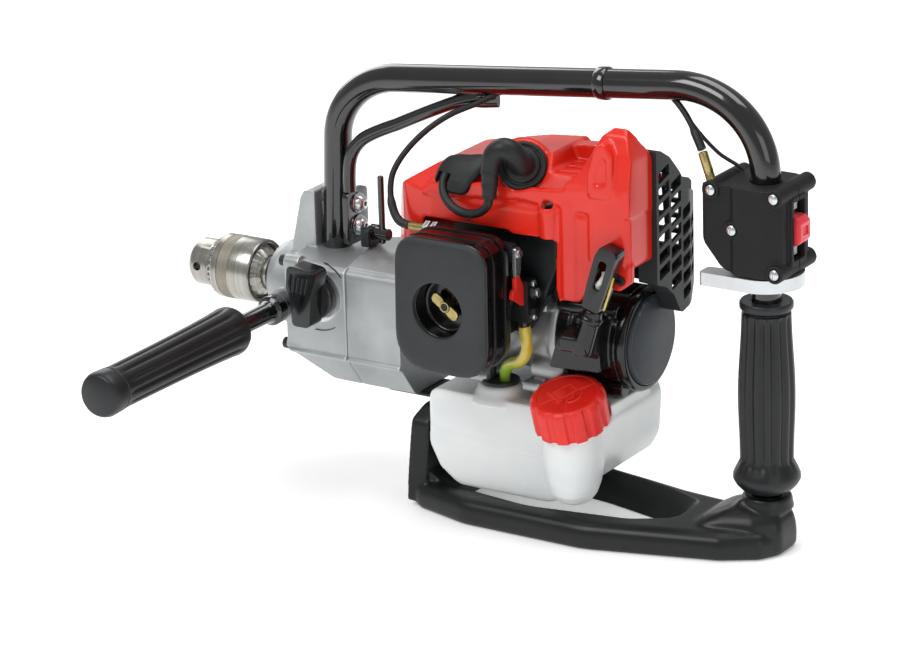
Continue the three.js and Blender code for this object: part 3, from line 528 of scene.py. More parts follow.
TEXTURED = ("black_plastic", moulding("textured_plastic", "#0a0b0c", "#121314", 0.6, 1300, 0.9, "#202224",
    Specular_IOR_Level=0.34))
GREY = ("grey_plastic", moulding("grey_plastic", "#26292a", "#2e3133", 0.56, 1900, 0.5, "#45494b",
    Specular_IOR_Level=0.4))
DISC = ("grey_plastic", moulding("starter_disc", "#252b32", "#2e353d", 0.5, 1900, 0.25, "#465059",
    Specular_IOR_Level=0.4))
RUBBER = ("black_rubber", moulding("black_rubber", "#101213", "#181b1c", 0.46, 1200, 0.3, "#2c3133",
    Specular_IOR_Level=0.4))
GRIP = ("black_rubber", moulding("grip_rubber", "#0f1112", "#17191b", 0.38, 1200, 0.16, "#2c3134",
    Specular_IOR_Level=0.42))
ROPE = ("milk_plastic", moulding("rope_cord", "#d9d9d2", "#c2c2ba", 0.7, 2200, 0.9))
RED = ("red_plastic", moulding("red_plastic", "#d8200f", "#e02a18", 0.28, 700, 0.02, Coat_Weight=0.3,
    Coat_Roughness=0.12, Specular_IOR_Level=0.36))
CAP_RED = ("red_plastic", moulding("cap_plastic", "#d81c12", "#e2241a", 0.4, 1200, 0.1, "#ee4134"))
SWITCH_RED = ("red_plastic", moulding("switch_plastic", "#d92433", "#e63542", 0.35, 1200, 0.08, "#f0606b"))
MILK = ("milk_plastic", milky_tank())
HOSE = ("clear_hose", clear_hose())
FOAM = ("filter_foam", foam())
BRASS = ("brass_plate", yellow_plate("yellow_plate", "#b3a26c", "#8f8458"))
ZINC = ("zinc_plate", satin_metal("zinc_plate", "#dcdfe1", "#b9bdc0", 0.22))
LEVER = ("silver_lever", satin_metal("silver_lever", "#dfe2e4", "#cfd3d5", 0.4))


def dress_cad_nodes():
    """Gives each CAD node the material of its slot in the record."""
    looks = dict([ALUMINIUM, STEEL, DARK_STEEL, PAINT, BLACK, GREY,
        RUBBER, RED, MILK, HOSE, FOAM, BRASS, ZINC, LEVER])
    for part in frame["record"]["subparts"]:
        node = frame["nodes"][part["node"]]
        node.data.materials.clear()
        node.data.materials.append(looks[part["material_slot"]])


dress_cad_nodes()


# ---- chuck ----
def round_spindle(bm, first):
    """Three copies of a shape, a third of a turn apart round the spindle. The first is turned by first."""
    copies = []
    for i in range(3):
        copy = joined(bm)
        copy.transform(Matrix.Rotation(first + TAU * i / 3, 4, "X"))
        copies.append(copy)
    return copies


def chuck_pieces():
    tilt = radians(15)
    shell = turned([(-58, 7.2), (-58, 13.4), (-57.4, 14.2), (-54.6, 16.7), (-53.6, 17), (-41.5, 17),
        (-41, 16.6), (-40.5, 17), (-3, 17), (-3, 13), (6, 13), (6, 5.9), (-22, 5.9), (-22, 7.2)], sides=96)
    start = Vector((-64, 0, 5.2 - 6 * tan(tilt)))
    end = Vector((-8, 0, 5.2 + 50 * tan(tilt)))
    jaw_bore = aimed(peg(0, (end - start).length, 3.8, "z", sides=24), start, end)
    key_hole = turned([(0, 0), (0, 3.1), (7.6, 3.1), (8.6, 4), (12, 4), (12, 0)], "z", sides=32)
    key_hole = aimed(key_hole, (-49, 0, 9), (-49, 0, 20))
    cuts = round_spindle(jaw_bore, 0) + round_spindle(key_hole, 1.5)
    piece("chuck_shell", edged(carved(shell, cut=cuts), 0.25, 2), STEEL, "spindle", "chuck_body")

    def teeth(angle, distance, radius):
        depth = 1.3 if -38.6 < distance < -34.5 else 0
        return radius - depth * clamped(0.5 + 1.4 * sin(30 * angle))

    sleeve = turned([(-38.5, 17.5), (-38.5, 18.8), (-37, 20.2), (-35, 22), (-33.4, 22.5), (-32.6, 23),
        (-28.2, 23), (-28, 22.6), (-19, 22.6), (-18.8, 23), (-1.2, 23), (-0.4, 22.6), (0, 22), (0, 20.6),
        (-1.5, 20), (-6, 19.4), (-6, 17.4), (-12, 17.4), (-12, 20.4), (-34, 20.4), (-34, 17.5)],
        sides=240, shape=teeth)
    piece("chuck_sleeve_ring", sleeve, STEEL, "chuck_sleeve", "chuck_sleeve", sharp=30)

    def knurl(angle, distance, radius):
        pitch = 1.1
        if radius < 22:
            return radius
        run = angle * radius
        left = abs(sin(pi * (run + distance) / pitch))
        right = abs(sin(pi * (run - distance) / pitch))
        return radius + 0.34 * (left * right)

    middle = [(-27.8 + 8.6 * i / 28, 22.9) for i in range(29)]
    band = [(-28, 21), (-28, 22.8)] + middle + [(-19, 22.8), (-19, 21)]
    piece("chuck_knurl_band", turned(band, sides=360, shape=knurl), KNURL, "chuck_sleeve")

    def facets(angle, distance, radius):
        return radius * (1 - 0.045 * abs(sin(9 * angle))) if 13.5 < radius < 19 else radius

    hub = turned([(-2.6, 7), (-2.6, 19), (-1.6, 18.6), (3.4, 14.4), (4.4, 12.8), (7.8, 12.6), (7.8, 7)],
        sides=180, shape=facets)
    piece("chuck_rear_cone", hub, STEEL, "spindle", sharp=25)
    rim = turned([(-0.3, 20.8), (-0.3, 22.3), (0.5, 22.1), (0.5, 20.9)], sides=96)
    piece("chuck_rear_lip", rim, DARK_STEEL, "chuck_sleeve")


# ---- gear case ----
CASE_HALF = 42
CASE_REAR = 141
SELECTOR = (74, 6)
HANDLE_AXIS = (45, -5)


def case_outline(top, inset=0.0):
    half = CASE_HALF - inset
    arch = []
    for i in range(1, 20):
        t = i / 10 - 1
        lift = (1 - abs(t)) ** 2
        side = 2 * (1 - abs(t)) * abs(t)
        height = (27 - inset) * t * t + side * (top - inset) + lift * (top - inset)
        reach = half * (t * t + 0.6 * side) * (1 if t > 0 else -1)
        arch.append((-reach, height))
    below = filleted([(half, 27 - inset, 5), (half, -38 + inset / 2, 3), (24 - inset / 2, -62 + inset, 6),
        (-24 + inset / 2, -62 + inset, 6), (-half, -38 + inset / 2, 3), (-half, 27 - inset, 5)])
    return below + arch[::-1]


def gear_case_pieces():
    split = local_box("gear_cover")[1].x
    nose = turned([(14, 0), (14, 18.6), (15, 19.6), (17, 24), (22, 26.6), (24, 27), (54, 27), (54, 0)],
        sides=96)
    front = prism(case_outline(30), "x", 46, split)
    post = slab([(31, 10, 0), (33.5, 30, 12), (42, 66, 6), (46.5, 70.5, 3), (54, 70.5, 1.5), (54, 10, 0)],
        "y", -13, 13)
    boss = peg(-43, -12, 12, "y", HANDLE_AXIS)
    ribs = [peg(47.5, split, 1.5, "x", (side * 42.1, -38), 16) for side in (-1, 1)]
    bolt_pads = [peg(45, 58, 5.4, "x", (y, z), 32) for y in (-37, 37) for z in (25.5, -35.5)]
    knob_pad = peg(-42.8, -30, 18.5, "y", SELECTOR)
    chin = prism([(40, -80), (74, -80), (74, -62), (45.9, -36), (40, -36)], "y", -60, 60)
    cuts = [chin, peg(10, 24.4, 10.2), peg(20, 99, 24), peg(29.5, 90, 10.3, "z", (63.6, 0), 48)]
    whole = carved(nose, add=[front, post, boss, knob_pad] + ribs + bolt_pads, cut=cuts)
    piece("gear_case_front", moulded(whole, 0.8, 4), ALUMINIUM, "powerhead", "gear_cover")

    ribs = [peg(split + GAP, CASE_REAR, 1.5, "x", (side * 42.1, -38), 16) for side in (-1, 1)]
    bolt_pads = [peg(128, CASE_REAR, 6, "x", (y, z), 32) for y in (-36, 36) for z in (22, -34)]
    hollow = [peg(90, 136, 29), peg(130, 150, 8, sides=32)]
    housing = carved(prism(case_outline(36), "x", split + GAP, CASE_REAR), add=ribs + bolt_pads, cut=hollow)
    piece("gear_case_rear", moulded(housing, 0.8, 4), ALUMINIUM, "powerhead", "gear_housing")

    bolts = []
    for y in (-37, 37):
        for z in (25.5, -35.5):
            head = turned([(40.6, 0), (40.6, 3.6), (41, 4), (45.4, 4), (45.4, 0)], centre=(y, z), sides=32)
            bolts.append(carved(head, cut=[hex_socket(y, z, 39, 43)]))
    piece("gear_case_bolts", joined(*bolts), DARK_STEEL, "powerhead")

    def arrow(share):
        return (0.75 if share < 0.8 else 0.2 + 9 * (1 - share), 0.3)

    marks = []
    for middle in (-1.35, 1.0):
        line = []
        for i in range(13):
            angle = middle + 0.34 * (i / 6 - 1)
            line.append((SELECTOR[0] + 25.5 * cos(angle), -42.1, SELECTOR[1] + 25.5 * sin(angle)))
        marks.append(swept(line, arrow, 10))
    piece("turning_arrows", joined(*marks), DARK_STEEL, "powerhead")


def selector_pieces():
    disc = turned([(-50, 0), (-50, 14.6), (-48.8, 15.8), (-43.6, 16), (-43.2, 15.6), (-43.2, 0)],
        "y", SELECTOR)
    wing = slab([(66.5, -11, 4), (81, -11, 4), (83, 12, 5), (88.5, 30, 5), (64, 33, 5), (62.5, 16, 4),
        (66, 8, 4)], "y", -64, -49)
    grooves = [swept([(67.2 + 3.6 * i, -64.2, 13), (68.8 + 4 * i, -64.2, 25)], 0.8, 12) for i in range(4)]
    knob = edged(carved(disc, add=[wing], cut=grooves), 1.1, 3)
    piece("selector_knob", knob, SHINY, "gear_selector", "gear_selector")
    washer = turned([(-43.3, 12), (-43.3, 19), (-42.9, 19), (-42.9, 12)], "y", SELECTOR)
    piece("selector_washer", washer, ZINC, "powerhead")


def side_handle_pieces():
    shaft = turned([(-112, 0), (-112, 7), (-66, 7), (-65, 7.6), (-62, 8), (-60, 10.6), (-52, 10.6),
        (-50.5, 9.4), (-46, 9.4), (-45.4, 8.6), (-43.4, 8.6), (-43.4, 4.8), (-25, 4.8), (-25, 0)],
        "y", HANDLE_AXIS)
    piece("side_handle_shaft", edged(shaft, 0.5, 3), PAINT, "powerhead", "side_handle_rod")

    def flutes(angle, distance, radius):
        if not -240 < distance < -112:
            return radius
        fade = min(1, (distance + 240) / 5, (-112 - distance) / 5)
        return radius - 1.3 * fade * (0.5 + 0.5 * cos(12 * angle)) ** 3

    grip = [(-257, 0), (-257, 13.2), (-256.4, 14.2), (-254.6, 15.2), (-252, 15.9), (-243.5, 15.6),
        (-243, 14.9), (-242.2, 14.9), (-241.6, 15.5)]
    for i in range(31):
        share = i / 30
        grip.append((-240 + 130 * share, 15.2 + 0.2 * sin(pi * share) + 2.3 * share ** 3))
    grip += [(-107.5, 17.3), (-105, 16.2), (-102.4, 14), (-100.6, 11.6), (-100, 9.6), (-100, 7.2),
        (-110, 7.2), (-110, 0)]
    grip = turned(grip, "y", HANDLE_AXIS, 144, flutes)
    piece("side_handle_cover", grip, GRIP, "powerhead", "side_handle_grip", 50)


# ---- tubular frame ----
TUBE_R = 10
FRONT_TOP = Vector((117, 0, 157.5))
SLOPE = 0.102
CLAMP_BOLTS = {"clamp_bolt_lower": 47, "clamp_bolt_upper": 63}


def top_at(x):
    return Vector((x, 0, FRONT_TOP.z + (x - FRONT_TOP.x) * SLOPE))


def bent(a, corner, b):
    ease = 0.56
    return bezier(a, Vector(a).lerp(corner, ease), Vector(b).lerp(corner, ease), b)


def clamp_holes(start):
    return [peg(start, 90, 3.3, "x", (0, z), 24) for z in CLAMP_BOLTS.values()]


def frame_pieces():
    rise = Vector((67.2, 0, 110))
    joint = 284
    front = [Vector((63.4, 0, 30))] + bent(rise, Vector((69, 0, 152.6)), FRONT_TOP) + [top_at(joint - GAP)]
    rear = [top_at(joint + GAP)] + bent(top_at(338), Vector((403.5, 0, 186.7)), Vector((GRIP_X, 0, 126)))
    rear.append(Vector((GRIP_X, 0, -120)))
    front_tube = carved(swept(spaced(front, 110), TUBE_R, 48, 8.4), cut=clamp_holes(40))
    piece("front_tube_paint", front_tube, PAINT, "powerhead", "front_tube", 60)
    piece("rear_tube_paint", swept(spaced(rear, 120), TUBE_R, 48, 8.4), PAINT, "powerhead", "rear_tube", 60)
    band = turned([(-4, 9.9), (-4, 10.7), (-3.2, 11.3), (3.2, 11.3), (4, 10.7), (4, 9.9)], "z")
    piece("tube_joint_band", aimed(band, top_at(joint), top_at(joint + 10)), PAINT, "powerhead")

    line = curve_points([(80.4, -7.5, 73.4), (80.6, -7.5, 86), (83, -7, 100), (92, -6, 112), (120, -4, 126),
        (150, -1, 140), (172, 2, 148.6), (186, 3, 151.6), (198, 3, 153.4)], 70)

    def oval(share):
        flat = clamped((share - 0.78) / 0.14)
        return (4.7 - 2.2 * flat, 4.7 + 2.6 * flat)

    piece("brace_paint", swept(line, oval, 32), PAINT, "powerhead", "brace_tube", 60)
    beads = []
    for side in (-1, 1):
        bead = [(186 + i * 1.1, side * (5.4 + 0.5 * sin(i * 1.9)) + 1.5, 153.9 + i * 0.1) for i in range(13)]
        beads.append(swept(bead, lambda share: 1.0 + 0.25 * sin(share * 40), 12))
    piece("brace_weld", joined(*beads), PAINT, "powerhead")

    plate = slab([(-12.5, 34.5, 4), (12.5, 34.5, 4), (12.5, 73, 5), (-12.5, 73, 5)], "x", 77.2, 81.6)
    plate = carved(plate, cut=clamp_holes(70))
    piece("clamp_plate_paint", edged(plate, 0.8, 3), PAINT, "powerhead", "clamp_plate")
    for name, z in CLAMP_BOLTS.items():
        head = turned([(37, 0), (37, 2.9), (81.9, 2.9), (81.9, 7.2), (82.6, 7.4), (83.2, 6.9), (83.5, 5.9),
            (86, 5.4), (87.6, 4), (88.2, 2.6), (88.2, 0)], "x", (0, z), 48)
        piece(name + "_zinc", carved(head, cut=[hex_socket(0, z, 85, 90)]), ZINC, "powerhead", name)


def chuck_key_pieces():
    def toothed(angle, distance, radius):
        return radius - 0.8 * max(0, sin(10 * angle)) if radius > 4.5 else radius

    shank = turned([(91, 0), (91, 2.6), (91.6, 3), (95.4, 3), (96, 4.6), (97, 5), (101, 5), (101, 4.2),
        (112.4, 4.2), (113, 3.6), (113, 0)], "x", (0, 0), 48, toothed)
    bar = turned([(-7, 0), (-7, 1.6), (-6.3, 2.3), (41.2, 2.3), (42, 1.6), (42, 0)], "z", (107, 0), 32)
    key = carved(shank, add=[bar])
    holder = prism(rounded_box_outline(-8, 8, -9.5, 4, 2.5), "x", 94, 100.5)
    holder = carved(holder, cut=[peg(80, 120, 5.3, "x", (0, 0), 32), block(80, 120, -5.3, 5.3, 0, 20)])
    holder = edged(holder, 0.5, 2)
    for part in (key, holder):
        part.transform(Matrix.Translation((0, -8, 46)))
    piece("key_steel", key, PAINT, "chuck_key", "chuck_key")
    piece("key_clip", holder, RUBBER, "powerhead", "key_holder")


chuck_pieces()
gear_case_pieces()
selector_pieces()
side_handle_pieces()
frame_pieces()
chuck_key_pieces()


# ---- engine castings ----
CYLINDER_X = 224
BORE_AXIS = (CYLINDER_X, 0)
INLET = (CYLINDER_X, 57)
STARTER_R = 36


def engine_pieces():
    case = turned([(141.3, 0), (141.3, 34), (150, 34), (151, 32.5), (254, 32.5), (256, 34), (262, 34),
        (262, 0)], sides=96)
    deck = peg(20, 49, 27, "z", BORE_AXIS)
    boss = turned([(243, 0), (243, 7.6), (266, 7.6), (268, 6.4), (268, 0)], "x", (-29, -22), 48)
    feet = [block(x, x + 14, -40, 40, -37, -31) for x in (196, 238)]
    ribs = [prism([(-28.5, -20), (-38, -20), (-38, 20), (-28.5, 20)], "x", x, x + 2.4) for x in (176, 190)]
    mount = slab([(196, 20, 3), (258, 20, 3), (252, 47, 4), (200, 47, 4)], "y", -36, -26)
    inside = [peg(150, 256, 27), peg(135, 270, 8, sides=32), peg(0, 60, 20.4, "z", BORE_AXIS)]
    whole = carved(case, add=[deck, boss, mount] + feet + ribs, cut=inside)
    piece("engine_crankcase", moulded(whole, 1.15, 4), ALUMINIUM, "powerhead", "crankcase")

    fins = [(35, 20)]
    for i in range(5):
        z = 50 + 8.4 * i
        fins += [(z - 0.6, 20), (z, 21), (z + 0.6, 33.4), (z + 1.2, 34),
            (z + 1.8, 33.4), (z + 2.4, 21), (z + 3, 20)]
    fins += [(90, 21), (90.4, 33.4), (91, 34), (95.4, 34), (96, 33.4),
        (96, 0), (88, 0), (88, 17.2), (35, 17.2)]
    barrel = turned(fins, "z", BORE_AXIS, 96)
    barrel = carved(barrel, cut=[peg(-50, -15, 5, "y", INLET, 32)])
    piece("engine_barrel", barrel, ALUMINIUM, "powerhead", "cylinder")


# ---- red cover ----
COVER_NEAR = -50
COVER_REAR = 330
COVER_BOLT = (323, 57)
# The spark plug leans towards the near side under its rubber boot.
BOOT_SEAT = Vector((242, -38, 121))
BOOT_WAY = (BOOT_SEAT - Vector((226, -8, 103))).normalized()
BOOT_AXIS = (BOOT_SEAT, BOOT_SEAT + BOOT_WAY)


def cover_hull(inset):
    side = filleted([(118 + inset, 10, 0), (121 + inset, 48, 20), (134 + inset, 83, 8),
        (145 + inset, 97 - inset, 8), (176, 116 - inset, 12), (230, 127 - inset, 30),
        (259, 130.5 - inset, 2), (263, 120 - inset, 2), (285 + inset, 120 - inset, 3),
        (292 + inset, 132 - inset, 3), (320, 137 - inset, 4), (COVER_REAR - inset, 136 - inset, 4),
        (COVER_REAR - inset, 64, 5), (317, 60, 5), (297, 44, 5),
        (291, 36.5, 3), (276, 36, 3), (262, 10, 0)])
    near = COVER_NEAR + inset
    front = filleted([(near, 0, 0), (near, 96, 7), (-36 + inset / 2, 121 - inset / 2, 8),
        (-20, 137 - inset, 8), (12, 137 - inset, 4), (22 - inset, 126 - inset, 4), (22 - inset, 0, 0)])
    plan = filleted([(110 + inset, 30, 0), (110 + inset, 8, 0), (152 + inset, near + 3, 14),
        (176, near, 14), (COVER_REAR - inset, near, 6), (COVER_REAR - inset, 30, 0)])
    shoulder = slab([(-2 - inset, 131, 6), (11.5 - inset, 117, 6), (21 - inset, 102, 4), (23, 60, 0),
        (60, 60, 0), (60, 180, 0), (-20 - inset, 180, 0), (-20 - inset, 139 - inset, 0)],
        "x", 284 - inset, 350)
    hull = prism(side, "y", -70, 40)
    return carved(hull, keep=[prism(front, "x", 100, 350), prism(plan, "z", -10, 170)], cut=[shoulder])


def cover_hump():
    """The raised corner that hoods the muffler's cooling air."""
    side = filleted([(276, 100, 0), (282, 118, 3), (292, 127, 12), (300, 139, 10), (306, 152, 6),
        (314, 158.4, 3), (322, 158, 3), (327, 151, 4), (COVER_REAR + 0.6, 138, 4),
        (COVER_REAR + 0.6, 100, 0)])
    front = filleted([(-50.8, 90, 0), (-50.8, 118, 8), (-47, 142, 6), (-42, 154, 5), (-36, 158.6, 3),
        (-30, 148, 3), (-21, 139, 3), (-15, 120, 4), (-12, 90, 0)])
    return carved(prism(side, "y", -60, 0), keep=[prism(front, "x", 260, 340)])


def cover_pieces():
    """Shell with its hump and facet, bolt boss, stepped seam, and vent channel with its ribs."""
    column = slab([(276, -47, 0), (279, -51.4, 2), (289, -51.4, 2), (291, -47, 0)], "z", 38, 104)
    boss = turned([(58, 0), (58, 6), (95, 7.4), (99, 7.4), (100, 6.6), (100, 0)], "z", (268, -47.6), 40)
    corner = slab([(296, -47, 0), (300, -51, 3), (326, -51, 4), (330.6, -47, 0)], "z", 68, 112)
    # The upper half of the shell overhangs the lower one along a stepped seam.
    ledge = slab([(168, 96, 1), (215, 99, 10), (246, 102, 10), (262, 101, 4), (300, 105, 10), (326, 106, 1),
        (326, 116, 4), (300, 116, 10), (262, 112, 4), (220, 110, 10), (176, 106, 3)], "y", -51.2, -46)
    tail = slab([(312, 50, 0), (314, 66, 0), (331, 68, 0), (331, 56, 3), (322, 49, 3)], "y", -50, -44)
    tail = carved(tail, cut=[peg(-60, -40, 2.6, "y", COVER_BOLT, 24)])
    boot_seat = aimed(turned([(-5, 0), (-5, 22), (-1.4, 20.4), (0.8, 18.4), (0.8, 0)], "z", sides=48),
        *BOOT_AXIS)
    recess = slab([(305, 119, 3), (306, 130, 3), (311, 142, 3), (315, 138, 3), (315, 122, 3)], "y", -54, -51)
    facet = slab([(301, 112, 2), (300, 127, 3), (306, 146, 3), (313, 151, 3), (319, 142, 3), (319, 118, 3),
        (316, 112, 2)], "y", -52.6, -44)
    facet = carved(facet, cut=[recess])
    bridge = slab([(254, 112, 0), (254, 129, 2), (298, 133, 2), (298, 112, 0)], "y", -2, 11)
    shell = carved(cover_hull(0), add=[cover_hump(), column, boss,
        corner, ledge, tail, boot_seat, bridge, facet])
    intake = slab([(168, -10, 0), (168, 79.5, 4), (236, 79.5, 4), (240, 77, 2), (274, 78.5, 3),
        (273, 44, 20), (276, 32, 4), (276, -10, 0)], "y", -60, -40)
    boot_hole = aimed(peg(-9, 20, 16.6, "z", sides=48), *BOOT_AXIS)
    cuts = [cover_hull(2.5), block(90, 345, -70, 40, -5, 12), intake,
        prism(case_outline(38, -1.5), "x", 90, 141.5), peg(130, 275, STARTER_R), boot_hole,
        block(319, 345, -12, 40, 20, 150), block(190, 326, 17, 40, 10, 122),
        peg(86, 104, 4.2, "z", (268, -48.6), 24)]
    piece("engine_cover_shell", moulded(carved(shell, cut=cuts), 0.95, 7),
        RED, "powerhead", "engine_cover", 60)
    lips = [block(265, 283, y, y + 3, 118.6, 121.4) for y in (-34, -22, -10, 2)]
    piece("vent_channel_ribs", edged(joined(*lips), 0.5, 2), RED, "powerhead")
    bolt = turned([(-50.6, 0), (-50.6, 3.4), (-47, 3.4), (-47, 0)], "y", COVER_BOLT, 32)
    bolt = carved(bolt, cut=[peg(-52, -49.4, 1.5, "y", COVER_BOLT, 6)])
    piece("cover_bolt", bolt, DARK_STEEL, "powerhead")


# ---- muffler guard ----
def guard_panel(inset):
    face = slab([(-20 + inset, 47 + inset, 2), (-20 + inset, 140 - inset, 2), (-14, 138 - inset, 4),
        (-2, 131 - inset, 8), (11.5 - inset / 2, 117 - inset, 12), (21, 103 - inset, 10),
        (40, 96 - inset, 8), (53 - inset, 84 - inset, 8), (57.5 - inset, 60, 20),
        (56 - inset, 45 + inset / 2, 5), (46 - inset / 2, 34 + inset, 6), (30, 22 + inset, 6),
        (12 + inset / 2, 18 + inset, 4), (8 + inset / 2, 24 + inset, 3), (2 + inset / 2, 34 + inset, 4),
        (-8, 42 + inset, 6)], "x", 319.4, COVER_REAR + 4 - inset)
    plan = slab([(280, -30, 0), (COVER_REAR + 4 - inset, -30, 0), (COVER_REAR + 4 - inset, 24, 16),
        (COVER_REAR - 4 - inset, 44, 16), (312, 58 - inset, 12), (280, 58 - inset, 0)], "z", 0, 160)
    return carved(face, keep=[plan])


def guard_pieces():
    """Perforated guard round the muffler: daylight shows through both of its walls."""
    plan = slab([(180, 0, 0), (340, 0, 0), (326, 44, 12), (312, 58, 12), (180, 58, 4)], "z", 0, 150)
    side = slab([(22.5, 30), (22.5, 103), (44, 103), (53, 95), (58, 60), (56, 46), (40, 30)],
        "x", 190, 322, 3)
    side = carved(side, keep=[plan])
    room = slab([(19, 33), (19, 100.4), (43, 100.4), (50.5, 93), (55, 60), (53, 47), (39, 33)],
        "x", 193, 321, 2)
    rear_room = carved(guard_panel(2.4), keep=[block(300, 331.6, -60, 80, 0, 160)])
    hollow = [room, rear_room, block(180, 319, 22, 30, 20, 99)]
    slots = []
    pitch = 11.2
    for row in range(9):
        z = 26 + row * pitch
        for start, end, lowest in ((-17, -3, 48), (-0.6, 12.6, 37), (15, 27.4, 26), (29.8, 41, 30)):
            if z + 12 > 133 - 1.05 * (end + 2) or z < lowest:
                continue
            slots.append(slab([(start, z), (end, z + 3.8), (end, z + 11.6), (start, z + 7.8)],
                "x", 318, 340, 1.2, 3))
    for row in range(4):
        z = 50 + row * pitch
        for start, end in ((270, 282), (285.5, 297), (300, 311)):
            slots.append(block(start, end, 50, 62, z, z + 7.8))
    whole = carved(carved(guard_panel(0), add=[side]), cut=hollow + slots)
    piece("muffler_guard_grille", edged(whole, 0.4, 2, 40), BLACK, "powerhead", "muffler_guard")


# ---- recoil starter ----
ROPE_TILT = radians(18)
ROPE_FOOT = Vector((300, -59, 14))
ROPE_WAY = Vector((sin(ROPE_TILT), 0, cos(ROPE_TILT)))
ROPE_AXIS = (ROPE_FOOT, ROPE_FOOT + ROPE_WAY)
STARTER_REAR = 309


def starter_pieces():
    """Housing with its rope outlet, the round cap, and the pull grip with the rope's end in it."""
    drum = turned([(262.5, 0), (262.5, STARTER_R), (272, STARTER_R), (272.6, 35), (279, 35),
        (279.6, STARTER_R), (STARTER_REAR, STARTER_R), (STARTER_REAR, 0)], sides=96)
    outlet = slab([(-20, -14, 0), (-44, -10, 3), (-48, 2, 4), (-66, 7, 4), (-66, 17, 3), (-58, 21, 3),
        (-20, 21, 0)], "x", 284, 304)
    cheek = slab([(264, -14, 2), (304, -12, 2), (304, 24, 4), (290, 27, 4), (272, 10, 5)], "y", -46.5, -20)
    guide = aimed(turned([(-8, 0), (-8, 7.4), (12, 6.8), (16, 6.8), (16.6, 8.2), (19.4, 8.2), (20, 7),
        (25, 6.4), (25, 0)], "z", sides=48), *ROPE_AXIS)
    ears = [peg(262.5, STARTER_REAR, 5, "x", (38 * cos(a), 38 * sin(a)), 24) for a in (0.6, 2.4, 4.1)]
    rope_hole = aimed(peg(-12, 30, 2.6, "z", sides=24), *ROPE_AXIS)
    cuts = [peg(258, STARTER_REAR - 3, 34), rope_hole, peg(STARTER_REAR, 330, 36.4)]
    whole = carved(drum, add=[outlet, cheek, guide] + ears, cut=cuts)
    piece("starter_drum", moulded(whole, 0.8, 3), SHINY, "powerhead", "starter_housing")

    face = STARTER_REAR + GAP
    rim = turned([(face, 0), (face, STARTER_R), (face + 4.4, 36.2), (face + 6.4, 35.2), (face + 7.2, 33.6),
        (face + 7.2, 32), (face + 6, 31.6), (face + 6, 0)], sides=128)
    piece("starter_rim", edged(rim, 0.3, 2, 30), SHINY, "powerhead", "starter_cap", 30)
    disc = turned([(face + 6.2, 0), (face + 6.2, 31.4), (face + 8.2, 31.2), (face + 9.2, 30),
        (face + 9.2, 27.4), (face + 9.6, 26.6), (face + 9.6, 0)], sides=128)
    dimple = peg(face + 8, face + 12, 1.1, "x", (-4, 28.8), 24)
    piece("starter_disc", edged(carved(disc, cut=[dimple]), 0.2, 2, 30), DISC, "powerhead", None, 30)

    foot = ROPE_FOOT + ROPE_WAY * 26
    outline = filleted([(-6.4, 0, 2), (6.4, 0, 2), (7.4, 24, 8), (7.8, 42, 3), (6.4, 46, 2), (-5.4, 46, 3),
        (-7.6, 38, 5), (-7.4, 16, 8)])
    hole = filleted([(-3, 15, 3), (3, 15, 3), (3, 37, 3), (-3, 37, 3)])
    grip = carved(prism(outline, "y", -6.2, 6.2), cut=[prism(hole, "y", -20, 20)])
    pose = Matrix.Translation(foot) @ Matrix.Rotation(ROPE_TILT, 4, "Y")
    grip = edged(grip, 1.0, 3)
    grip.transform(pose)
    piece("starter_pull_grip", grip, SHINY, "starter_handle", "starter_handle")
    strip = edged(block(7.3, 8.1, -2.2, 0.4, 2, 27), 0.3, 2)
    strip.transform(pose)
    piece("starter_grip_strip", strip, HOSE, "starter_handle")
    knot = swept([(0.4, 0, 2), (0.2, -0.6, 14), (-1, -1.6, 18), (1.2, -2.4, 21), (0.6, 0.2, 24),
        (-1, 1, 27)], lambda share: 1.5 + 1.1 * sin(pi * share), 14)
    knot.transform(pose)
    piece("starter_rope_knot", knot, ROPE, "starter_handle")
    line = [ROPE_FOOT + ROPE_WAY * (i - 6) for i in range(33)]
    cord = piece("starter_cord", swept(line, 1.6, 14), ROPE, None)
    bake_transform(cord)


# ---- fuel tank ----
FILLER = (283, -48)
OUTLET = (217, -32)
CAP_PLACE = Matrix.Translation((*FILLER, -50)) @ Matrix.Rotation(radians(18), 4, "X")


def on_cap(bm):
    bm.transform(CAP_PLACE)
    return bm


def tank_hull(inset):
    side = filleted([(168 + inset, -44 - inset, 9), (167 + inset, -85, 12),
        (175 + inset / 2, -101 + inset / 2, 10), (190, -112 + inset, 16), (264, -112 + inset, 24),
        (289 - inset, -97, 26), (302 - inset, -78, 26), (309 - inset, -44 - inset, 7)], steps=8)
    plan = filleted([(160 + inset, -48 + inset, 0), (303 - inset, -48 + inset, 14),
        (312 - inset, -38 + inset, 14), (312 - inset, 24, 26), (292 - inset, 48 - inset, 26),
        (160 + inset, 48 - inset, 0)], steps=8)
    return carved(prism(side, "y", -60, 60), keep=[prism(plan, "z", -130, -20)])


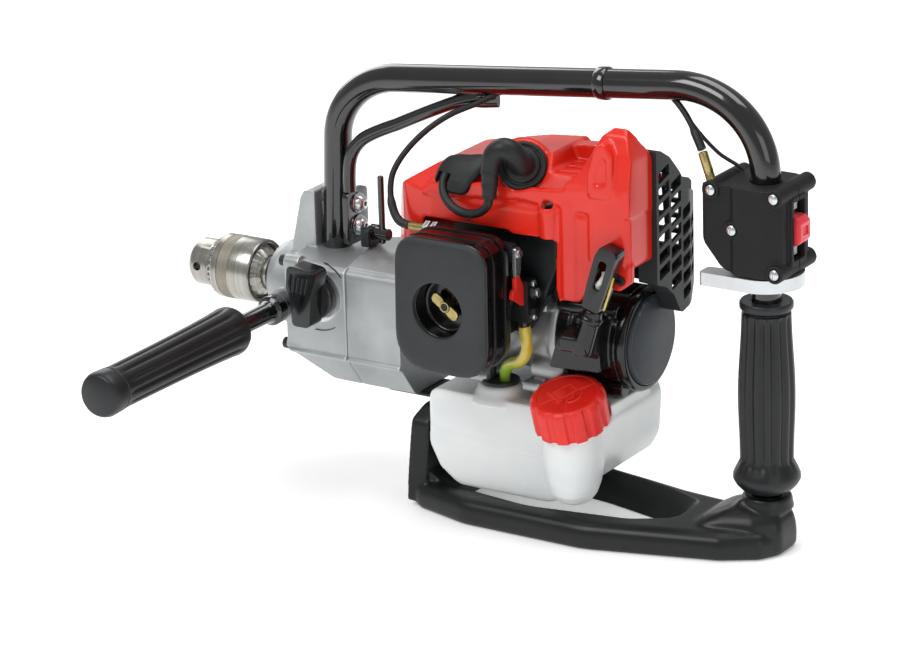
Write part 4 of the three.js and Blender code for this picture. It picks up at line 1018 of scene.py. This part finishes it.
def tank_pieces():
    bulge = turned([(-108.5, 0), (-107.5, 6), (-104.5, 12), (-99, 16.2), (-91, 19), (-80, 20.6), (-62, 21),
        (-47, 21), (-47, 0)], "z", FILLER, 80)
    collar = turned([(-49, 0), (-49, 22), (-45, 20), (-41.5, 17.4), (-38, 16), (-36.6, 14.6), (-36.6, 0)],
        "z", OUTLET, 80)
    shelf = prism(rounded_box_outline(286, 306, -40, 20, 6), "z", -52, -38)
    room = on_cap(peg(-0.5, 40, 26.8, "z"))
    neck = on_cap(peg(-10, 20, 20.9, "z"))
    notch = prism(rounded_box_outline(293, 301, -39.6, -36, 1.4), "y", -70, -38)
    bulge_room = turned([(-101, 0), (-101, 9), (-90, 16), (-79, 18), (-54, 18), (-54, 0)], "z", FILLER, 48)
    outlet_hole = peg(-54, -32, 9.6, "z", OUTLET, 48)
    cuts = [tank_hull(2.6), bulge_room, on_cap(peg(-16, 30, 16, "z", sides=48)), outlet_hole]
    body = carved(tank_hull(0), add=[bulge, collar, shelf], cut=[room, notch], late=[neck])
    seam = swept([(171, -48.1, -74), (200, -48.1, -76), (240, -48.1, -78), (262, -48.1, -79)], 0.8, 10)
    whole = carved(carved(body, add=[seam]), cut=cuts)
    piece("fuel_tank_wall", moulded(whole, 1.1, 5), MILK, "powerhead", "fuel_tank", 60)

    def ridges(angle, distance, radius):
        if radius < 22.6 or distance > 23.4:
            return radius
        wave = cos(12 * angle)
        return radius - 1.7 * clamped(0.5 + 2.4 * (wave - 0.4))

    cap = turned([(0, 21.5), (0, 25.4), (0.6, 26), (3, 26), (8, 26), (14, 26), (19, 25.9), (21.2, 25.4),
        (22.8, 24.4), (23.8, 23), (24.2, 21.6), (24.2, 20.8), (23.7, 20.3), (23.7, 0.01), (21, 0.01),
        (21, 21.5)], "z", sides=216, shape=ridges)
    pump = slab([(-8, -7, 1), (3, -7, 1), (3, 8, 1), (-8, 8, 1)], "z", 23.5, 24.5)
    foot = slab([(-10.5, -9.6), (5.5, -9.6), (5.5, -7.8), (-10.5, -7.8)], "z", 23.5, 24.5, 0.6)
    line = [(3, 3, 24), (6, 2.4, 24), (7, -3, 24), (9.6, -4, 24), (11, 0, 24), (10, 5, 24), (7, 8, 24)]
    nozzle = swept(curve_points(line, 30), 0.8, 10)
    window = slab([(-6, 1), (1, 1), (1, 6), (-6, 6)], "z", 23.9, 26, 0.6)
    mark = joined(carved(pump, cut=[window]), foot, nozzle)
    mark.transform(Matrix.Rotation(-0.5, 4, "Z"))
    piece("fuel_cap_shell", on_cap(edged(cap, 0.25, 2, 50)), CAP_RED, "fuel_cap", "fuel_cap", 45)
    piece("fuel_cap_mark", on_cap(mark), CAP_RED, "fuel_cap")

    plug = turned([(-48, 0), (-48, 9.3), (-36.7, 9.3), (-36.7, 12.6), (-36, 13.2), (-34.6, 12.8),
        (-34, 11.6), (-35.2, 9), (-35.2, 0)], "z", OUTLET)
    plug = carved(plug, cut=[peg(-60, -20, 3.7, "z", (220, -32), 32),
        peg(-60, -20, 2.4, "z", (210.7, -32), 24)])
    piece("tank_grommet_rubber", edged(plug, 0.3, 2), RUBBER, "powerhead", "tank_grommet")
    supply = curve_points([(246, -47, 12), (247, -47, 4), (246, -45, -6), (238, -41, -16), (226, -35, -22),
        (220.5, -32.3, -29), (220, -32, -38), (220, -32, -46)], 70)
    supply = swept(supply, lambda share: 4.1 - 0.6 * clamped((share - 0.75) / 0.1), 28)
    piece("fuel_supply_hose", supply, HOSE, "powerhead", "fuel_hose")
    back = curve_points([(228, -42, 3), (226, -40, -8), (218, -36, -17), (211.5, -32.5, -25),
        (210.7, -32, -33), (210.7, -32, -46)], 60)
    piece("fuel_return_hose", swept(back, 2.1, 20), RUBBER, "powerhead", "return_hose")


# ---- carburettor and air cleaner ----
def carburettor_pieces():
    body = slab([(203, 30, 3), (240, 30, 3), (240, 66, 4), (203, 66, 4)], "y", -51.5, -36)
    bowl = slab([(232, 16, 3), (252, 16, 3), (252, 46, 3), (232, 46, 3)], "y", -51.5, -40)
    flange = peg(-36.5, -34.5, 15, "y", INLET, 48)
    pump = slab([(222, 4, 2), (234, 4, 2), (234, 32, 2), (222, 32, 2)], "y", -46, -38)
    drain = peg(12.5, 16, 3.1, "z", (246, -47), 24)
    barrel = turned([(236, 0), (236, 5), (254, 5), (255, 4.2), (255, 0)], "x", (-45, 37), 32)
    stop = peg(236, 256, 3, "x", (-46, 24), 24)
    throat = peg(-60, -20, 7, "y", INLET, 48)
    whole = edged(carved(body, add=[bowl, flange, pump, drain, barrel, stop], cut=[throat]), 0.6, 2)
    piece("carburettor_body", whole, CARBURETTOR, "powerhead", "carburettor")
    screws = []
    for x, y, z, size in ((252.2, -45, 43, 2.6), (252.2, -45, 20, 2.6), (255.2, -45, 37, 3.2)):
        head = turned([(x, 0), (x, size), (x + 1.4, size), (x + 2, size * 0.8), (x + 2, 0)], "x", (y, z), 24)
        screws.append(carved(head, cut=[block(x + 1, x + 3, y - 0.4, y + 0.4, z - 4, z + 4)]))
    piece("carburettor_screws", joined(*screws), ZINC, "powerhead")
    # A black plate with a lip closes the cover's intake opening behind the carburettor: painted shade,
    # standing for the shadow inside the opening.
    edge = filleted([(186, 4, 4), (186, 80, 4), (271, 80, 3), (272, 58, 20),
        (262, 34, 20), (246, 8, 4), (238, 4, 4)])
    plate = prism(edge, "y", -37.4, -35.6)
    plate = carved(plate, cut=[peg(-60, -20, 15.4, "y", INLET, 48), peg(130, 275, STARTER_R)])
    inner = [(x + (1.6 if x < 230 else -1.6), z + (1.6 if z < 40 else -1.6)) for x, z in edge]
    lip = carved(prism(edge, "y", -46, -35.6),
        cut=[prism(inner, "y", -60, -20), block(150, 262, -60, -20, -10, 90)])
    piece("intake_shadow_plate", joined(edged(plate, 0.3, 2), lip), BLACK, "powerhead")
    conduit = [(234, -50, 70), (238, -52, 60), (241, -53, 48),
        (240, -53, 36), (236, -52, 24), (232, -50, 12)]
    sleeve = swept(curve_points(conduit, 60), lambda share: 2.2 + 0.25 * sin(170 * share), 16)
    piece("throttle_wire_sleeve", sleeve, RUBBER, "powerhead")


FILTER_X = 207
FILTER_Z = 31
FILTER_AXIS = (FILTER_X, FILTER_Z)
CHOKE_PIVOT = (-55.5, 66)


def filter_outline(inset, steps=8):
    x0, x1 = FILTER_X - 36 + inset, FILTER_X + 38.2 - inset
    z0, z1 = FILTER_Z - 46 + inset, FILTER_Z + 49 - inset
    corner = 22 - inset * 0.6
    return filleted([(x0, z0 + 1, corner + 5), (x1 - 1, z0, corner + 2), (x1, z1, corner - 4),
        (x0 + 2, z1, corner - 3)], steps=steps)


def air_cleaner_pieces():
    def stack(levels):
        return skin([[along("y", p, y) for p in filter_outline(inset)] for y, inset in levels])

    outer = stack([(-59.4, 2), (-60.2, 1), (-70, 0.8), (-76, 0.8), (-86, 0.4), (-90.5, 0), (-92.6, 0.7),
        (-94.1, 2.2), (-94.8, 4.6), (-95, 9)])
    inner = stack([(-50, 4), (-60, 3), (-76.4, 2.6), (-85, 3), (-91, 7)])
    well = turned([(-98, 21), (-95, 20), (-94, 19.4), (-92, 19), (-78.4, 18.9), (-78.4, 0), (-98, 0)], "y",
        (FILTER_X, FILTER_Z), 96)
    cup = turned([(-93, 0), (-93, 21.4), (-76.2, 21.4), (-76.2, 0)], "y", FILTER_AXIS, 96)
    hub = peg(-90, -70, 3.4, "y", FILTER_AXIS, 32)
    whole = carved(carved(outer, cut=[inner], late=[cup]), cut=[well, hub])
    front = carved(joined(whole), keep=[block(100, 300, -99, -91.4, -60, 120)])
    back = carved(whole, keep=[block(100, 300, -91.4, -40, -60, 120)])
    ribs = [stack([(y, -0.2), (y + 1.6, -0.2)]) for y in (-82, -68)]
    inside = stack([(-99, 1.6), (-40, 1.6)])
    bands = [carved(rib, cut=[joined(inside)]) for rib in ribs]
    piece("air_cleaner_face", moulded(front, 0.7, 2), GREY, "air_cleaner_cover", "air_cleaner_cover", 60)
    piece("air_cleaner_wall", moulded(back, 0.9, 2), SHINY, "air_cleaner_cover", None, 60)
    piece("air_cleaner_bands", edged(joined(*bands), 0.4, 2), SHINY, "air_cleaner_cover")

    pin = [(-2, 3), (-5, 4.4), (-9.4, 4.8), (-11.4, 3), (-11.4, -0.6),
        (-9.6, -2.2), (-4.6, -2.8), (-2, -2.6)]
    wings = []
    for turn in (0, pi):
        ear = slab(pin, "y", -84.8, -82.8, 1.3)
        ear.transform(Matrix.Rotation(turn, 4, "Y"))
        wings.append(ear)
    hub = turned([(-85.5, 0), (-85.5, 3.6), (-84.6, 4.2), (-81, 4.8), (-78.9, 5.2), (-78.9, 0)],
        "y", sides=48)
    nut = carved(hub, add=wings, cut=[peg(-100, -70, 2.75, "y", sides=32)])
    nut.transform(Matrix.Translation((FILTER_X, 0, FILTER_Z)) @ Matrix.Rotation(0.5, 4, "Y"))
    piece("wing_nut_brass", edged(nut, 0.5, 3), BRASS, "wing_nut", "wing_nut")

    plate = prism(filter_outline(6), "y", -59, -52)
    ear = prism(rounded_box_outline(228, 244.8, 60, 72, 2.5), "y", -59, -52)
    stud = turned([(-86, 0), (-86, 2), (-85.4, 2.6), (-58, 2.6), (-58, 0)], "y", FILTER_AXIS, 24)
    cuts = [peg(-70, -40, 7, "y", INLET, 48), peg(238, 250, 2.7, "x", CHOKE_PIVOT, 24)]
    piece("air_cleaner_plate", edged(carved(plate, add=[ear, stud], cut=cuts), 0.5, 2), BLACK, "powerhead",
        "air_cleaner_base")

    arm = slab([(-59.5, 70.6, 2), (-52.5, 70.6, 2), (-53, 57, 2), (-54, 50, 1), (-59.4, 50, 1),
        (-60, 57, 2)], "x", 245.7, 248.1)
    tip = slab([(-61, 50, 0.8), (-56, 51, 0.8), (-50, 40, 2), (-44, 33, 1), (-44.6, 28, 1), (-53, 29, 1),
        (-60, 34, 2), (-66, 37, 1.4), (-64, 42, 1), (-61, 43, 1)], "x", 245.7, 248.8)
    pin = peg(241.5, 249.5, 2.4, "x", CHOKE_PIVOT, 32)
    screw = turned([(248, 0), (248, 3.2), (249.2, 3.2), (249.8, 2.4), (249.8, 0)], "x", CHOKE_PIVOT, 32)
    piece("choke_arm", edged(carved(arm, add=[pin]), 0.4, 2), ZINC, "choke_lever", "choke_lever")
    piece("choke_tip", edged(tip, 0.4, 2), CAP_RED, "choke_lever")
    piece("choke_screw", screw, ZINC, "choke_lever")


# ---- ignition ----
def ignition_pieces():
    """The plug boot with its seal, the lead that loops back to the cover, the flap over its entry."""
    flange = turned([(1.4, 0), (1.4, 15.6), (2.4, 16.6), (4.6, 16.8), (6.4, 16), (6.8, 14.4), (5.8, 13.2),
        (5.8, 12.4), (7.6, 12), (8.6, 10.8), (8.6, 9.8), (7.8, 9.4), (9.6, 8.8), (11, 7.4), (11, 0)],
        "z", sides=96)
    aimed(flange, *BOOT_AXIS)
    path = curve_points([BOOT_SEAT + BOOT_WAY * 5, BOOT_SEAT + BOOT_WAY * 10, (245, -53, 134),
        (239, -57, 138), (233, -59, 134), (230.4, -60, 125), (230, -60.5, 115), (229.4, -61, 104)], 70)

    def thick(share):
        ring = 0.6 * max(0, sin(share * 46)) ** 3 if share > 0.62 else 0
        return 8 - 3.4 * max(0, share - 0.35) / 0.65 + ring

    elbow = swept(path, thick, 36)
    boot = moulded(carved(flange, add=[elbow]), 0.6, 2)
    piece("plug_boot_rubber", boot, RUBBER, "powerhead", "plug_boot", 60)

    lead = curve_points([(229.6, -60.8, 107), (228, -60.6, 99), (220, -60, 92), (208, -59, 90),
        (197, -58, 93.5), (190, -55.5, 100), (187, -51, 107), (187.5, -47.5, 112)], 80)
    piece("ignition_lead_sleeve", swept(lead, 3, 24), RUBBER, "powerhead", "ignition_lead")
    tape = curve_points([(227.6, -60, 101), (221, -61, 94), (215, -61.6, 89), (212, -61.6, 86)], 30)
    ends = swept(tape, lambda share: (1.9 - 1.5 * share, 0.8), 12)
    piece("ignition_lead_tape", ends, RUBBER, "powerhead")
    piece("lead_guard_rubber", rubber_flap(), RUBBER, "powerhead", "lead_guard")


def rubber_flap():
    """A rubber flap that lies on the cover's upper near slope, open below where the lead goes in."""
    corners = [(180, -49.4, 106), (181.5, -44.5, 114.5), (187, -40.4, 121.4), (203, -39, 124),
        (217, -38.4, 124.8), (216.4, -43, 118), (210, -48.5, 108.4), (205, -52.6, 100.5), (197, -53, 100),
        (188, -52.4, 101)]
    outline = curve_points(corners + [corners[0]], 60)[:-1]
    middle = sum(outline, Vector()) / len(outline)
    out = Vector((0, -0.85, 0.52))
    layers = ((-0.6, 1), (2.4, 1), (3.6, 0.96), (4.6, 0.8), (5.4, 0.5), (5.7, 0.15))
    rings = [[middle + (p - middle) * share + out * lift for p in outline] for lift, share in layers]
    mouth = aimed(peg(-14, 9, 5.4, "z", sides=32), (187, -53.6, 105), (188, -50, 115))
    return moulded(carved(skin(rings), cut=[mouth]), 0.6, 2)


# ---- base and rear grip ----
def base_pieces():
    """A loop on the floor with a low front wall, and a block under the rear grip."""
    def rim(grow, rear):
        return filleted([(150 + grow, -44 + grow, 8), (160 + grow, -57 + grow, 14), (205, -69 + grow, 40),
            (300, -69.5 + grow, 60), (392 - grow / 2, -44 + grow, 8), (rear - 8 - grow, -29 + grow / 2, 8),
            (rear - grow, -14, 14), (rear - grow, 12, 16), (404, 20 - grow, 16), (330, 27 - grow, 60),
            (264, 40 - grow, 60), (162 + grow, 57 - grow, 14), (150 + grow, 44 - grow, 8)], steps=10)

    def opening(grow, lean):
        return filleted([(181 - grow, -41 - grow, 4), (250, -50 - grow, 60), (322, -38 - grow, 30),
            (345 + grow, -22 - grow, 16), (345 + grow - lean * 0.4, 3 + grow - lean * 0.6, 10),
            (327, 12 + grow - lean * 0.7, 20), (275, 30 + grow - lean, 40),
            (181 - grow, 43 + grow - lean, 4)], steps=10)

    levels = [(-132, 3.4), (-131, 1.6), (-129, 0.6), (-126, 0), (-122, 0), (-118, 1), (-115.4, 3),
        (-113.8, 6), (-113.2, 9)]
    foot = skin([[along("z", p, z) for p in rim(grow, 424)] for z, grow in levels])
    levels = [(-140, 0.4, 20), (-132, 0.4, 18), (-124, 0.4, 9), (-120, 0.8, 5), (-117, 2, 2),
        (-115, 3.6, 1), (-112, 7, 0), (-105, 8, 0)]
    gap = skin([[along("z", p, z) for p in opening(grow, lean)] for z, grow, lean in levels])
    loop = carved(foot, cut=[gap])
    wall = slab([(-56, -128, 2), (-52, -108, 30), (-46, -72, 8), (-34, -62, 8), (34, -62, 8), (46, -72, 8),
        (52, -108, 30), (54, -128, 2)], "x", 150.5, 166)
    lean = slab([(152, -130, 0), (150, -100, 20), (151, -70, 8), (156, -60, 6), (165, -60, 2),
        (167, -130, 0)], "y", -60, 60)
    wall = carved(wall, keep=[lean])
    tongue = slab([(112, -66), (164, -66), (164, -62), (112, -62.4)], "y", -16, 16, 0.8)
    levels = [(-128, 357, 43, 28, 424), (-119, 358, 42.6, 28, 424), (-114, 362, 40, 27, 423.4),
        (-109, 368, 36, 25.6, 422), (-105.6, 374, 31, 23.6, 420), (-102.6, 381, 25, 20.6, 417.6),
        (-100.4, 387, 20, 17.4, 416), (-98.4, 390, 17, 15, 415.4), (-96.4, 391, 16, 14.4, 415)]
    rings = []
    for z, front, wide, narrow, rear in levels:
        far = min(narrow * 0.66, 15)
        ring = filleted([(front, -wide, 14), (rear - 14, -narrow, 9), (rear, -narrow * 0.6, 9),
            (rear, far * 0.6, 7), (rear - 14, far, 7), (front, far, 9)], steps=8)
        rings.append([along("z", p, z) for p in ring])
    heel = skin(rings)
    collar = turned([(-104, 0), (-104, 18.4), (-99, 17.4), (-95.4, 16.8), (-94.2, 15.6), (-94.2, 0)],
        "z", GRIP_AXIS)
    socket = peg(-120.3, -80, 10.3, "z", GRIP_AXIS, 48)
    slope = filleted([(164, -118, 0), (180, -116, 6), (166, -106, 6), (160, -92, 0), (158, -118, 0)])
    inner_slope = [prism(slope, "y", side * 34 - 14, side * 34 + 14) for side in (-1, 1)]
    whole = carved(loop, add=[wall, tongue, heel, collar] + inner_slope)
    groove = carved(prism(rim(-4, 428), "z", -127.4, -126.4), cut=[prism(rim(0.9, 423), "z", -130, -120)])
    whole = carved(whole, cut=[socket, groove])
    piece("base_moulding", moulded(whole, 0.9, 14), BASE, "powerhead", "base_frame", 60)

    def flutes(angle, distance, radius):
        if radius < 12 or not -74 < distance < 34:
            return radius
        fade = min(1, (34 - distance) / 4, (distance + 74) / 8)
        return radius - 1.9 * fade * (0.5 + 0.5 * cos(15 * angle)) ** 1.6

    profile = [(-91, 10.4), (-91, 15.6), (-90, 17.4), (-86.4, 20.8), (-82.6, 22.8), (-79.6, 22.6),
        (-76, 21), (-72, 19)]
    for i in range(41):
        share = i / 40
        swell = sin(pi * min(1, share * 1.05)) ** 2
        profile.append((-70 + 103 * share, 18 - 1.4 * share ** 2 + 1.5 * swell))
    profile += [(33.6, 16.4), (34, 15.2), (34.8, 14.9), (35.6, 15.6), (36.4, 17.2), (37.6, 18), (40.8, 18),
        (42, 17.2), (42, 10.4)]
    grip = turned(profile, "z", GRIP_AXIS, 168, flutes)
    piece("rear_grip_rubber", grip, GRIP, "powerhead", "rear_grip", 50)


# ---- throttle and switch box ----
BOX_FRONT, BOX_REAR, BOX_BOTTOM, BOX_TOP = 368, 427, 64, 124
SWITCH_SCREWS = [(376.5, 120), (423, 120), (392, 94.6), (423.5, 68.6)]
FRONT_FERRULE = ((160.6, -54, 73), (200, -54, 74))
REAR_FERRULE = ((366.4, -15.8, 143.4), (377, -16, 113))


def switch_box_pieces():
    side = filleted([(BOX_FRONT, BOX_TOP, 4), (BOX_FRONT, 86, 14), (384, 66.5, 14), (394, BOX_BOTTOM, 3),
        (BOX_REAR, BOX_BOTTOM, 5), (BOX_REAR, BOX_TOP, 5)])
    plan = filleted([(BOX_FRONT, -22, 5), (391, -22, 3), (393, -24.6, 2), (414, -24.6, 5),
        (BOX_REAR, -19, 5), (BOX_REAR, 19, 5), (414, 24.6, 5), (393, 24.6, 2), (391, 22, 3),
        (BOX_FRONT, 22, 5)])
    whole = carved(prism(side, "y", -30, 30), keep=[prism(plan, "z", 40, 140)])
    frame_ring = prism(rounded_box_outline(-10.5, 10.5, 71, 117, 3), "x", 424, 429.6)
    window = prism(rounded_box_outline(-7.5, 7.5, 74, 114, 1.5), "x", 420, 432)
    pads = [peg(-24.4, 24.4, 6.2, "y", (x, z), 32) for x, z in SWITCH_SCREWS]
    wells = [peg(-40, -23.2, 4.4, "y", (x, z), 32) for x, z in SWITCH_SCREWS]
    seam = [block(391.6, 392.4, -40, -23.4, 60, 130), block(391.6, 392.4, 23.4, 40, 60, 130)]
    cable_hole = aimed(peg(0.8, 32, 4, "z", sides=32), *REAR_FERRULE)
    hollow = [peg(40, 140, 10.3, "z", GRIP_AXIS), block(373, 392, -18, 18, 84, 118),
        block(418, 424, -11, 11, 72, 116), window, cable_hole]
    shell = carved(carved(whole, add=[frame_ring] + pads), cut=hollow + wells + seam)
    halves = (("switch_box_near", "switch_box_left", block(300, 500, -60, -0.15, 0, 200)),
        ("switch_box_far", "switch_box_right", block(300, 500, 0.15, 60, 0, 200)))
    for name, node, half in halves:
        body = carved(joined(shell), keep=[half])
        piece(name, moulded(body, 0.6, 2), TEXTURED, "powerhead", node, 60)

    screws = []
    for x, z in SWITCH_SCREWS:
        head = turned([(-23, 0), (-23, 3.5), (-24.6, 3.4), (-25.5, 2.2), (-25.7, 0)], "y", (x, z), 32)
        screws.append(carved(head, cut=[block(x - 0.4, x + 0.4, -30, -25, z - 4, z + 4)]))
    piece("switch_box_screws", joined(*screws), ZINC, "powerhead")
    marks = [prism(rounded_box_outline(-5.6, 5.6, low, high, 0.8), "x", 424.2, 424.8) for low,
        high in ((106.5, 112), (75.6, 81))]
    piece("switch_position_marks", joined(*marks), MILK, "powerhead")

    thumb = slab([(420, 84.5, 0), (431, 84.5, 2), (434, 88, 2), (434, 100, 2), (431, 103.5, 2),
        (420, 103.5, 0)], "y", -6.5, 6.5)
    slider = prism(rounded_box_outline(-8.5, 8.5, 84, 104, 1), "x", 418.6, 422)
    slider = carved(slider, add=[thumb], cut=[block(433, 436, -3.6, 3.6, 91, 97)])
    piece("stop_slider", edged(slider, 0.6, 3), SWITCH_RED, "stop_switch", "stop_switch")

    arm = filleted([(368, -25.5, 3), (GRIP_X, -25.5, 0), (GRIP_X + 10, 0, 0),
        (398, 0, 0), (388, -10, 4), (368, -12, 3)])
    ring = peg(54, 63, 25.5, "z", GRIP_AXIS, 96)
    bore = peg(50, 70, 10.3, "z", GRIP_AXIS)
    lever = carved(ring, add=[prism(arm, "z", 54, 63)], cut=[bore])
    piece("throttle_lever_alloy", edged(lever, 1.2, 4), LEVER, "throttle_lever", "throttle_lever")


# ---- cables ----
def cable_pieces():
    line = curve_points([(159.8, -54, 73), (153, -54, 74.5), (147, -52, 80), (142, -48, 90),
        (140, -42, 103), (145, -33, 117), (157, -22, 132), (172, -13, 143), (187, -8.5, 150),
        (198, -4, 156), (212, 0, 164), (250, 0, 171), (284, 0, 174.5), (318, 0, 178), (331, 0, 174.5),
        (343, -3, 167), (353, -8, 159), (361, -13, 151), (366.2, -15.6, 144)], 220)

    def sleeve(share):
        return 2.1 + 0.9 * clamped((0.085 - share) / 0.015) + 0.9 * clamped((share - 0.945) / 0.015)

    piece("throttle_cable_sheath", swept(line, sleeve, 20), RUBBER, "powerhead", "throttle_cable")
    wire = curve_points([(346, 2, 158), (356, 4, 146), (368, 6, 135), (379, 8, 129), (384, 9, 125.6)], 50)
    piece("stop_wire_sheath", swept(wire, 1.3, 16), RUBBER, "powerhead", "stop_wire")

    def hexagon(angle, distance, radius):
        return radius * 0.93 / cos((angle % (TAU / 6)) - TAU / 12) if radius == 4.8 else radius

    tube = turned([(0, 0), (0, 2.4), (0.4, 3), (13, 3), (13, 2.6), (23, 2.6), (23, 2), (32.4, 2), (33, 1.5),
        (33, 0)], "z", sides=48)
    piece("cable_adjuster_front", aimed(tube, *FRONT_FERRULE), BRASS, "powerhead", "cable_ferrule_front")
    nuts = [turned([(z, 0), (z, 4.1), (z + 0.1, 4.8), (z + 3.8, 4.8), (z + 3.9, 4.1), (z + 3.9, 0)], "z",
        sides=96, shape=hexagon) for z in (13.2, 19)]
    piece("cable_lock_nuts", aimed(edged(joined(*nuts), 0.2, 2), *FRONT_FERRULE), ZINC, "powerhead")
    tube = turned([(0.8, 0), (0.8, 2.6), (1.3, 3.2), (15, 3.2), (15.5, 2.9), (16, 3.2), (26, 3.2), (26, 0)],
        "z", sides=48)
    piece("cable_ferrule_rear_brass", aimed(tube, *REAR_FERRULE), BRASS, "powerhead", "cable_ferrule_rear")


engine_pieces()
cover_pieces()
guard_pieces()
starter_pieces()
tank_pieces()
carburettor_pieces()
air_cleaner_pieces()
ignition_pieces()
base_pieces()
switch_box_pieces()
cable_pieces()


# ---- camera, floor and light ----
def camera():
    """Looks at the powerhead's left side from the front, a little from above."""
    azimuth = radians(33)
    elevation = radians(19)
    roll = radians(1.7)
    sight = SPINDLE + Vector((1594.7, -2203.6, 886.3)) * MM
    back = Vector((sin(azimuth) * cos(elevation), -cos(azimuth) * cos(elevation), sin(elevation)))
    right = Vector((0, 0, 1)).cross(back).normalized()
    up = back.cross(right)
    turned_right = right * cos(roll) - up * sin(roll)
    turned_up = up * cos(roll) + right * sin(roll)
    data = bpy.data.cameras.new("camera")
    data.lens = 156.52
    data.sensor_width = 36
    obj = bpy.data.objects.new("camera", data)
    turn = Matrix((turned_right, turned_up, back)).transposed().to_4x4()
    obj.matrix_world = Matrix.Translation(sight) @ turn
    bpy.context.scene.collection.objects.link(obj)
    bpy.context.scene.camera = obj


def plain_floor():
    size = 12
    mesh = bpy.data.meshes.new("floor")
    corners = [(-size, -size, 0), (size, -size, 0), (size, size, 0), (-size, size, 0)]
    mesh.from_pydata(corners, [], [(0, 1, 2, 3)])
    floor = bpy.data.objects.new("floor", mesh)
    bpy.context.scene.collection.objects.link(floor)
    n = Nodes("pale_floor")
    tone = n.mixed(n.noise(3, 2), linear("#fcfcfb"), linear("#ffffff"))
    mesh.materials.append(n.finish(tone, 0.7, Specular_IOR_Level=0.2, Emission_Color=linear("#ffffff"),
        Emission_Strength=0.25))


def area_light(name, place, width, height, power, target=(0.02, 0, 0.15)):
    data = bpy.data.lights.new(name, "AREA")
    data.shape = "RECTANGLE"
    data.size = width
    data.size_y = height
    data.energy = power
    obj = bpy.data.objects.new(name, data)
    obj.location = place
    obj.rotation_euler = (Vector(target) - Vector(place)).to_track_quat("-Z", "Y").to_euler()
    bpy.context.scene.collection.objects.link(obj)


def studio_light():
    area_light("key", (-0.6, -1.5, 1.9), 1.3, 1.0, 24)
    area_light("fill", (2.1, -1.3, 0.9), 1.4, 1.2, 7)
    area_light("top", (0.1, 0.3, 2.0), 1.6, 1.0, 17)
    area_light("rim", (-1.6, 0.9, 1.0), 1.0, 1.2, 9)
    world = bpy.data.worlds.new("studio")
    world.use_nodes = True
    world.node_tree.nodes["Background"].inputs["Color"].default_value = (1, 1, 1, 1)
    world.node_tree.nodes["Background"].inputs["Strength"].default_value = 0.42
    bpy.context.scene.world = world
    bpy.context.scene.view_settings.view_transform = "Standard"


camera()
plain_floor()
studio_light()
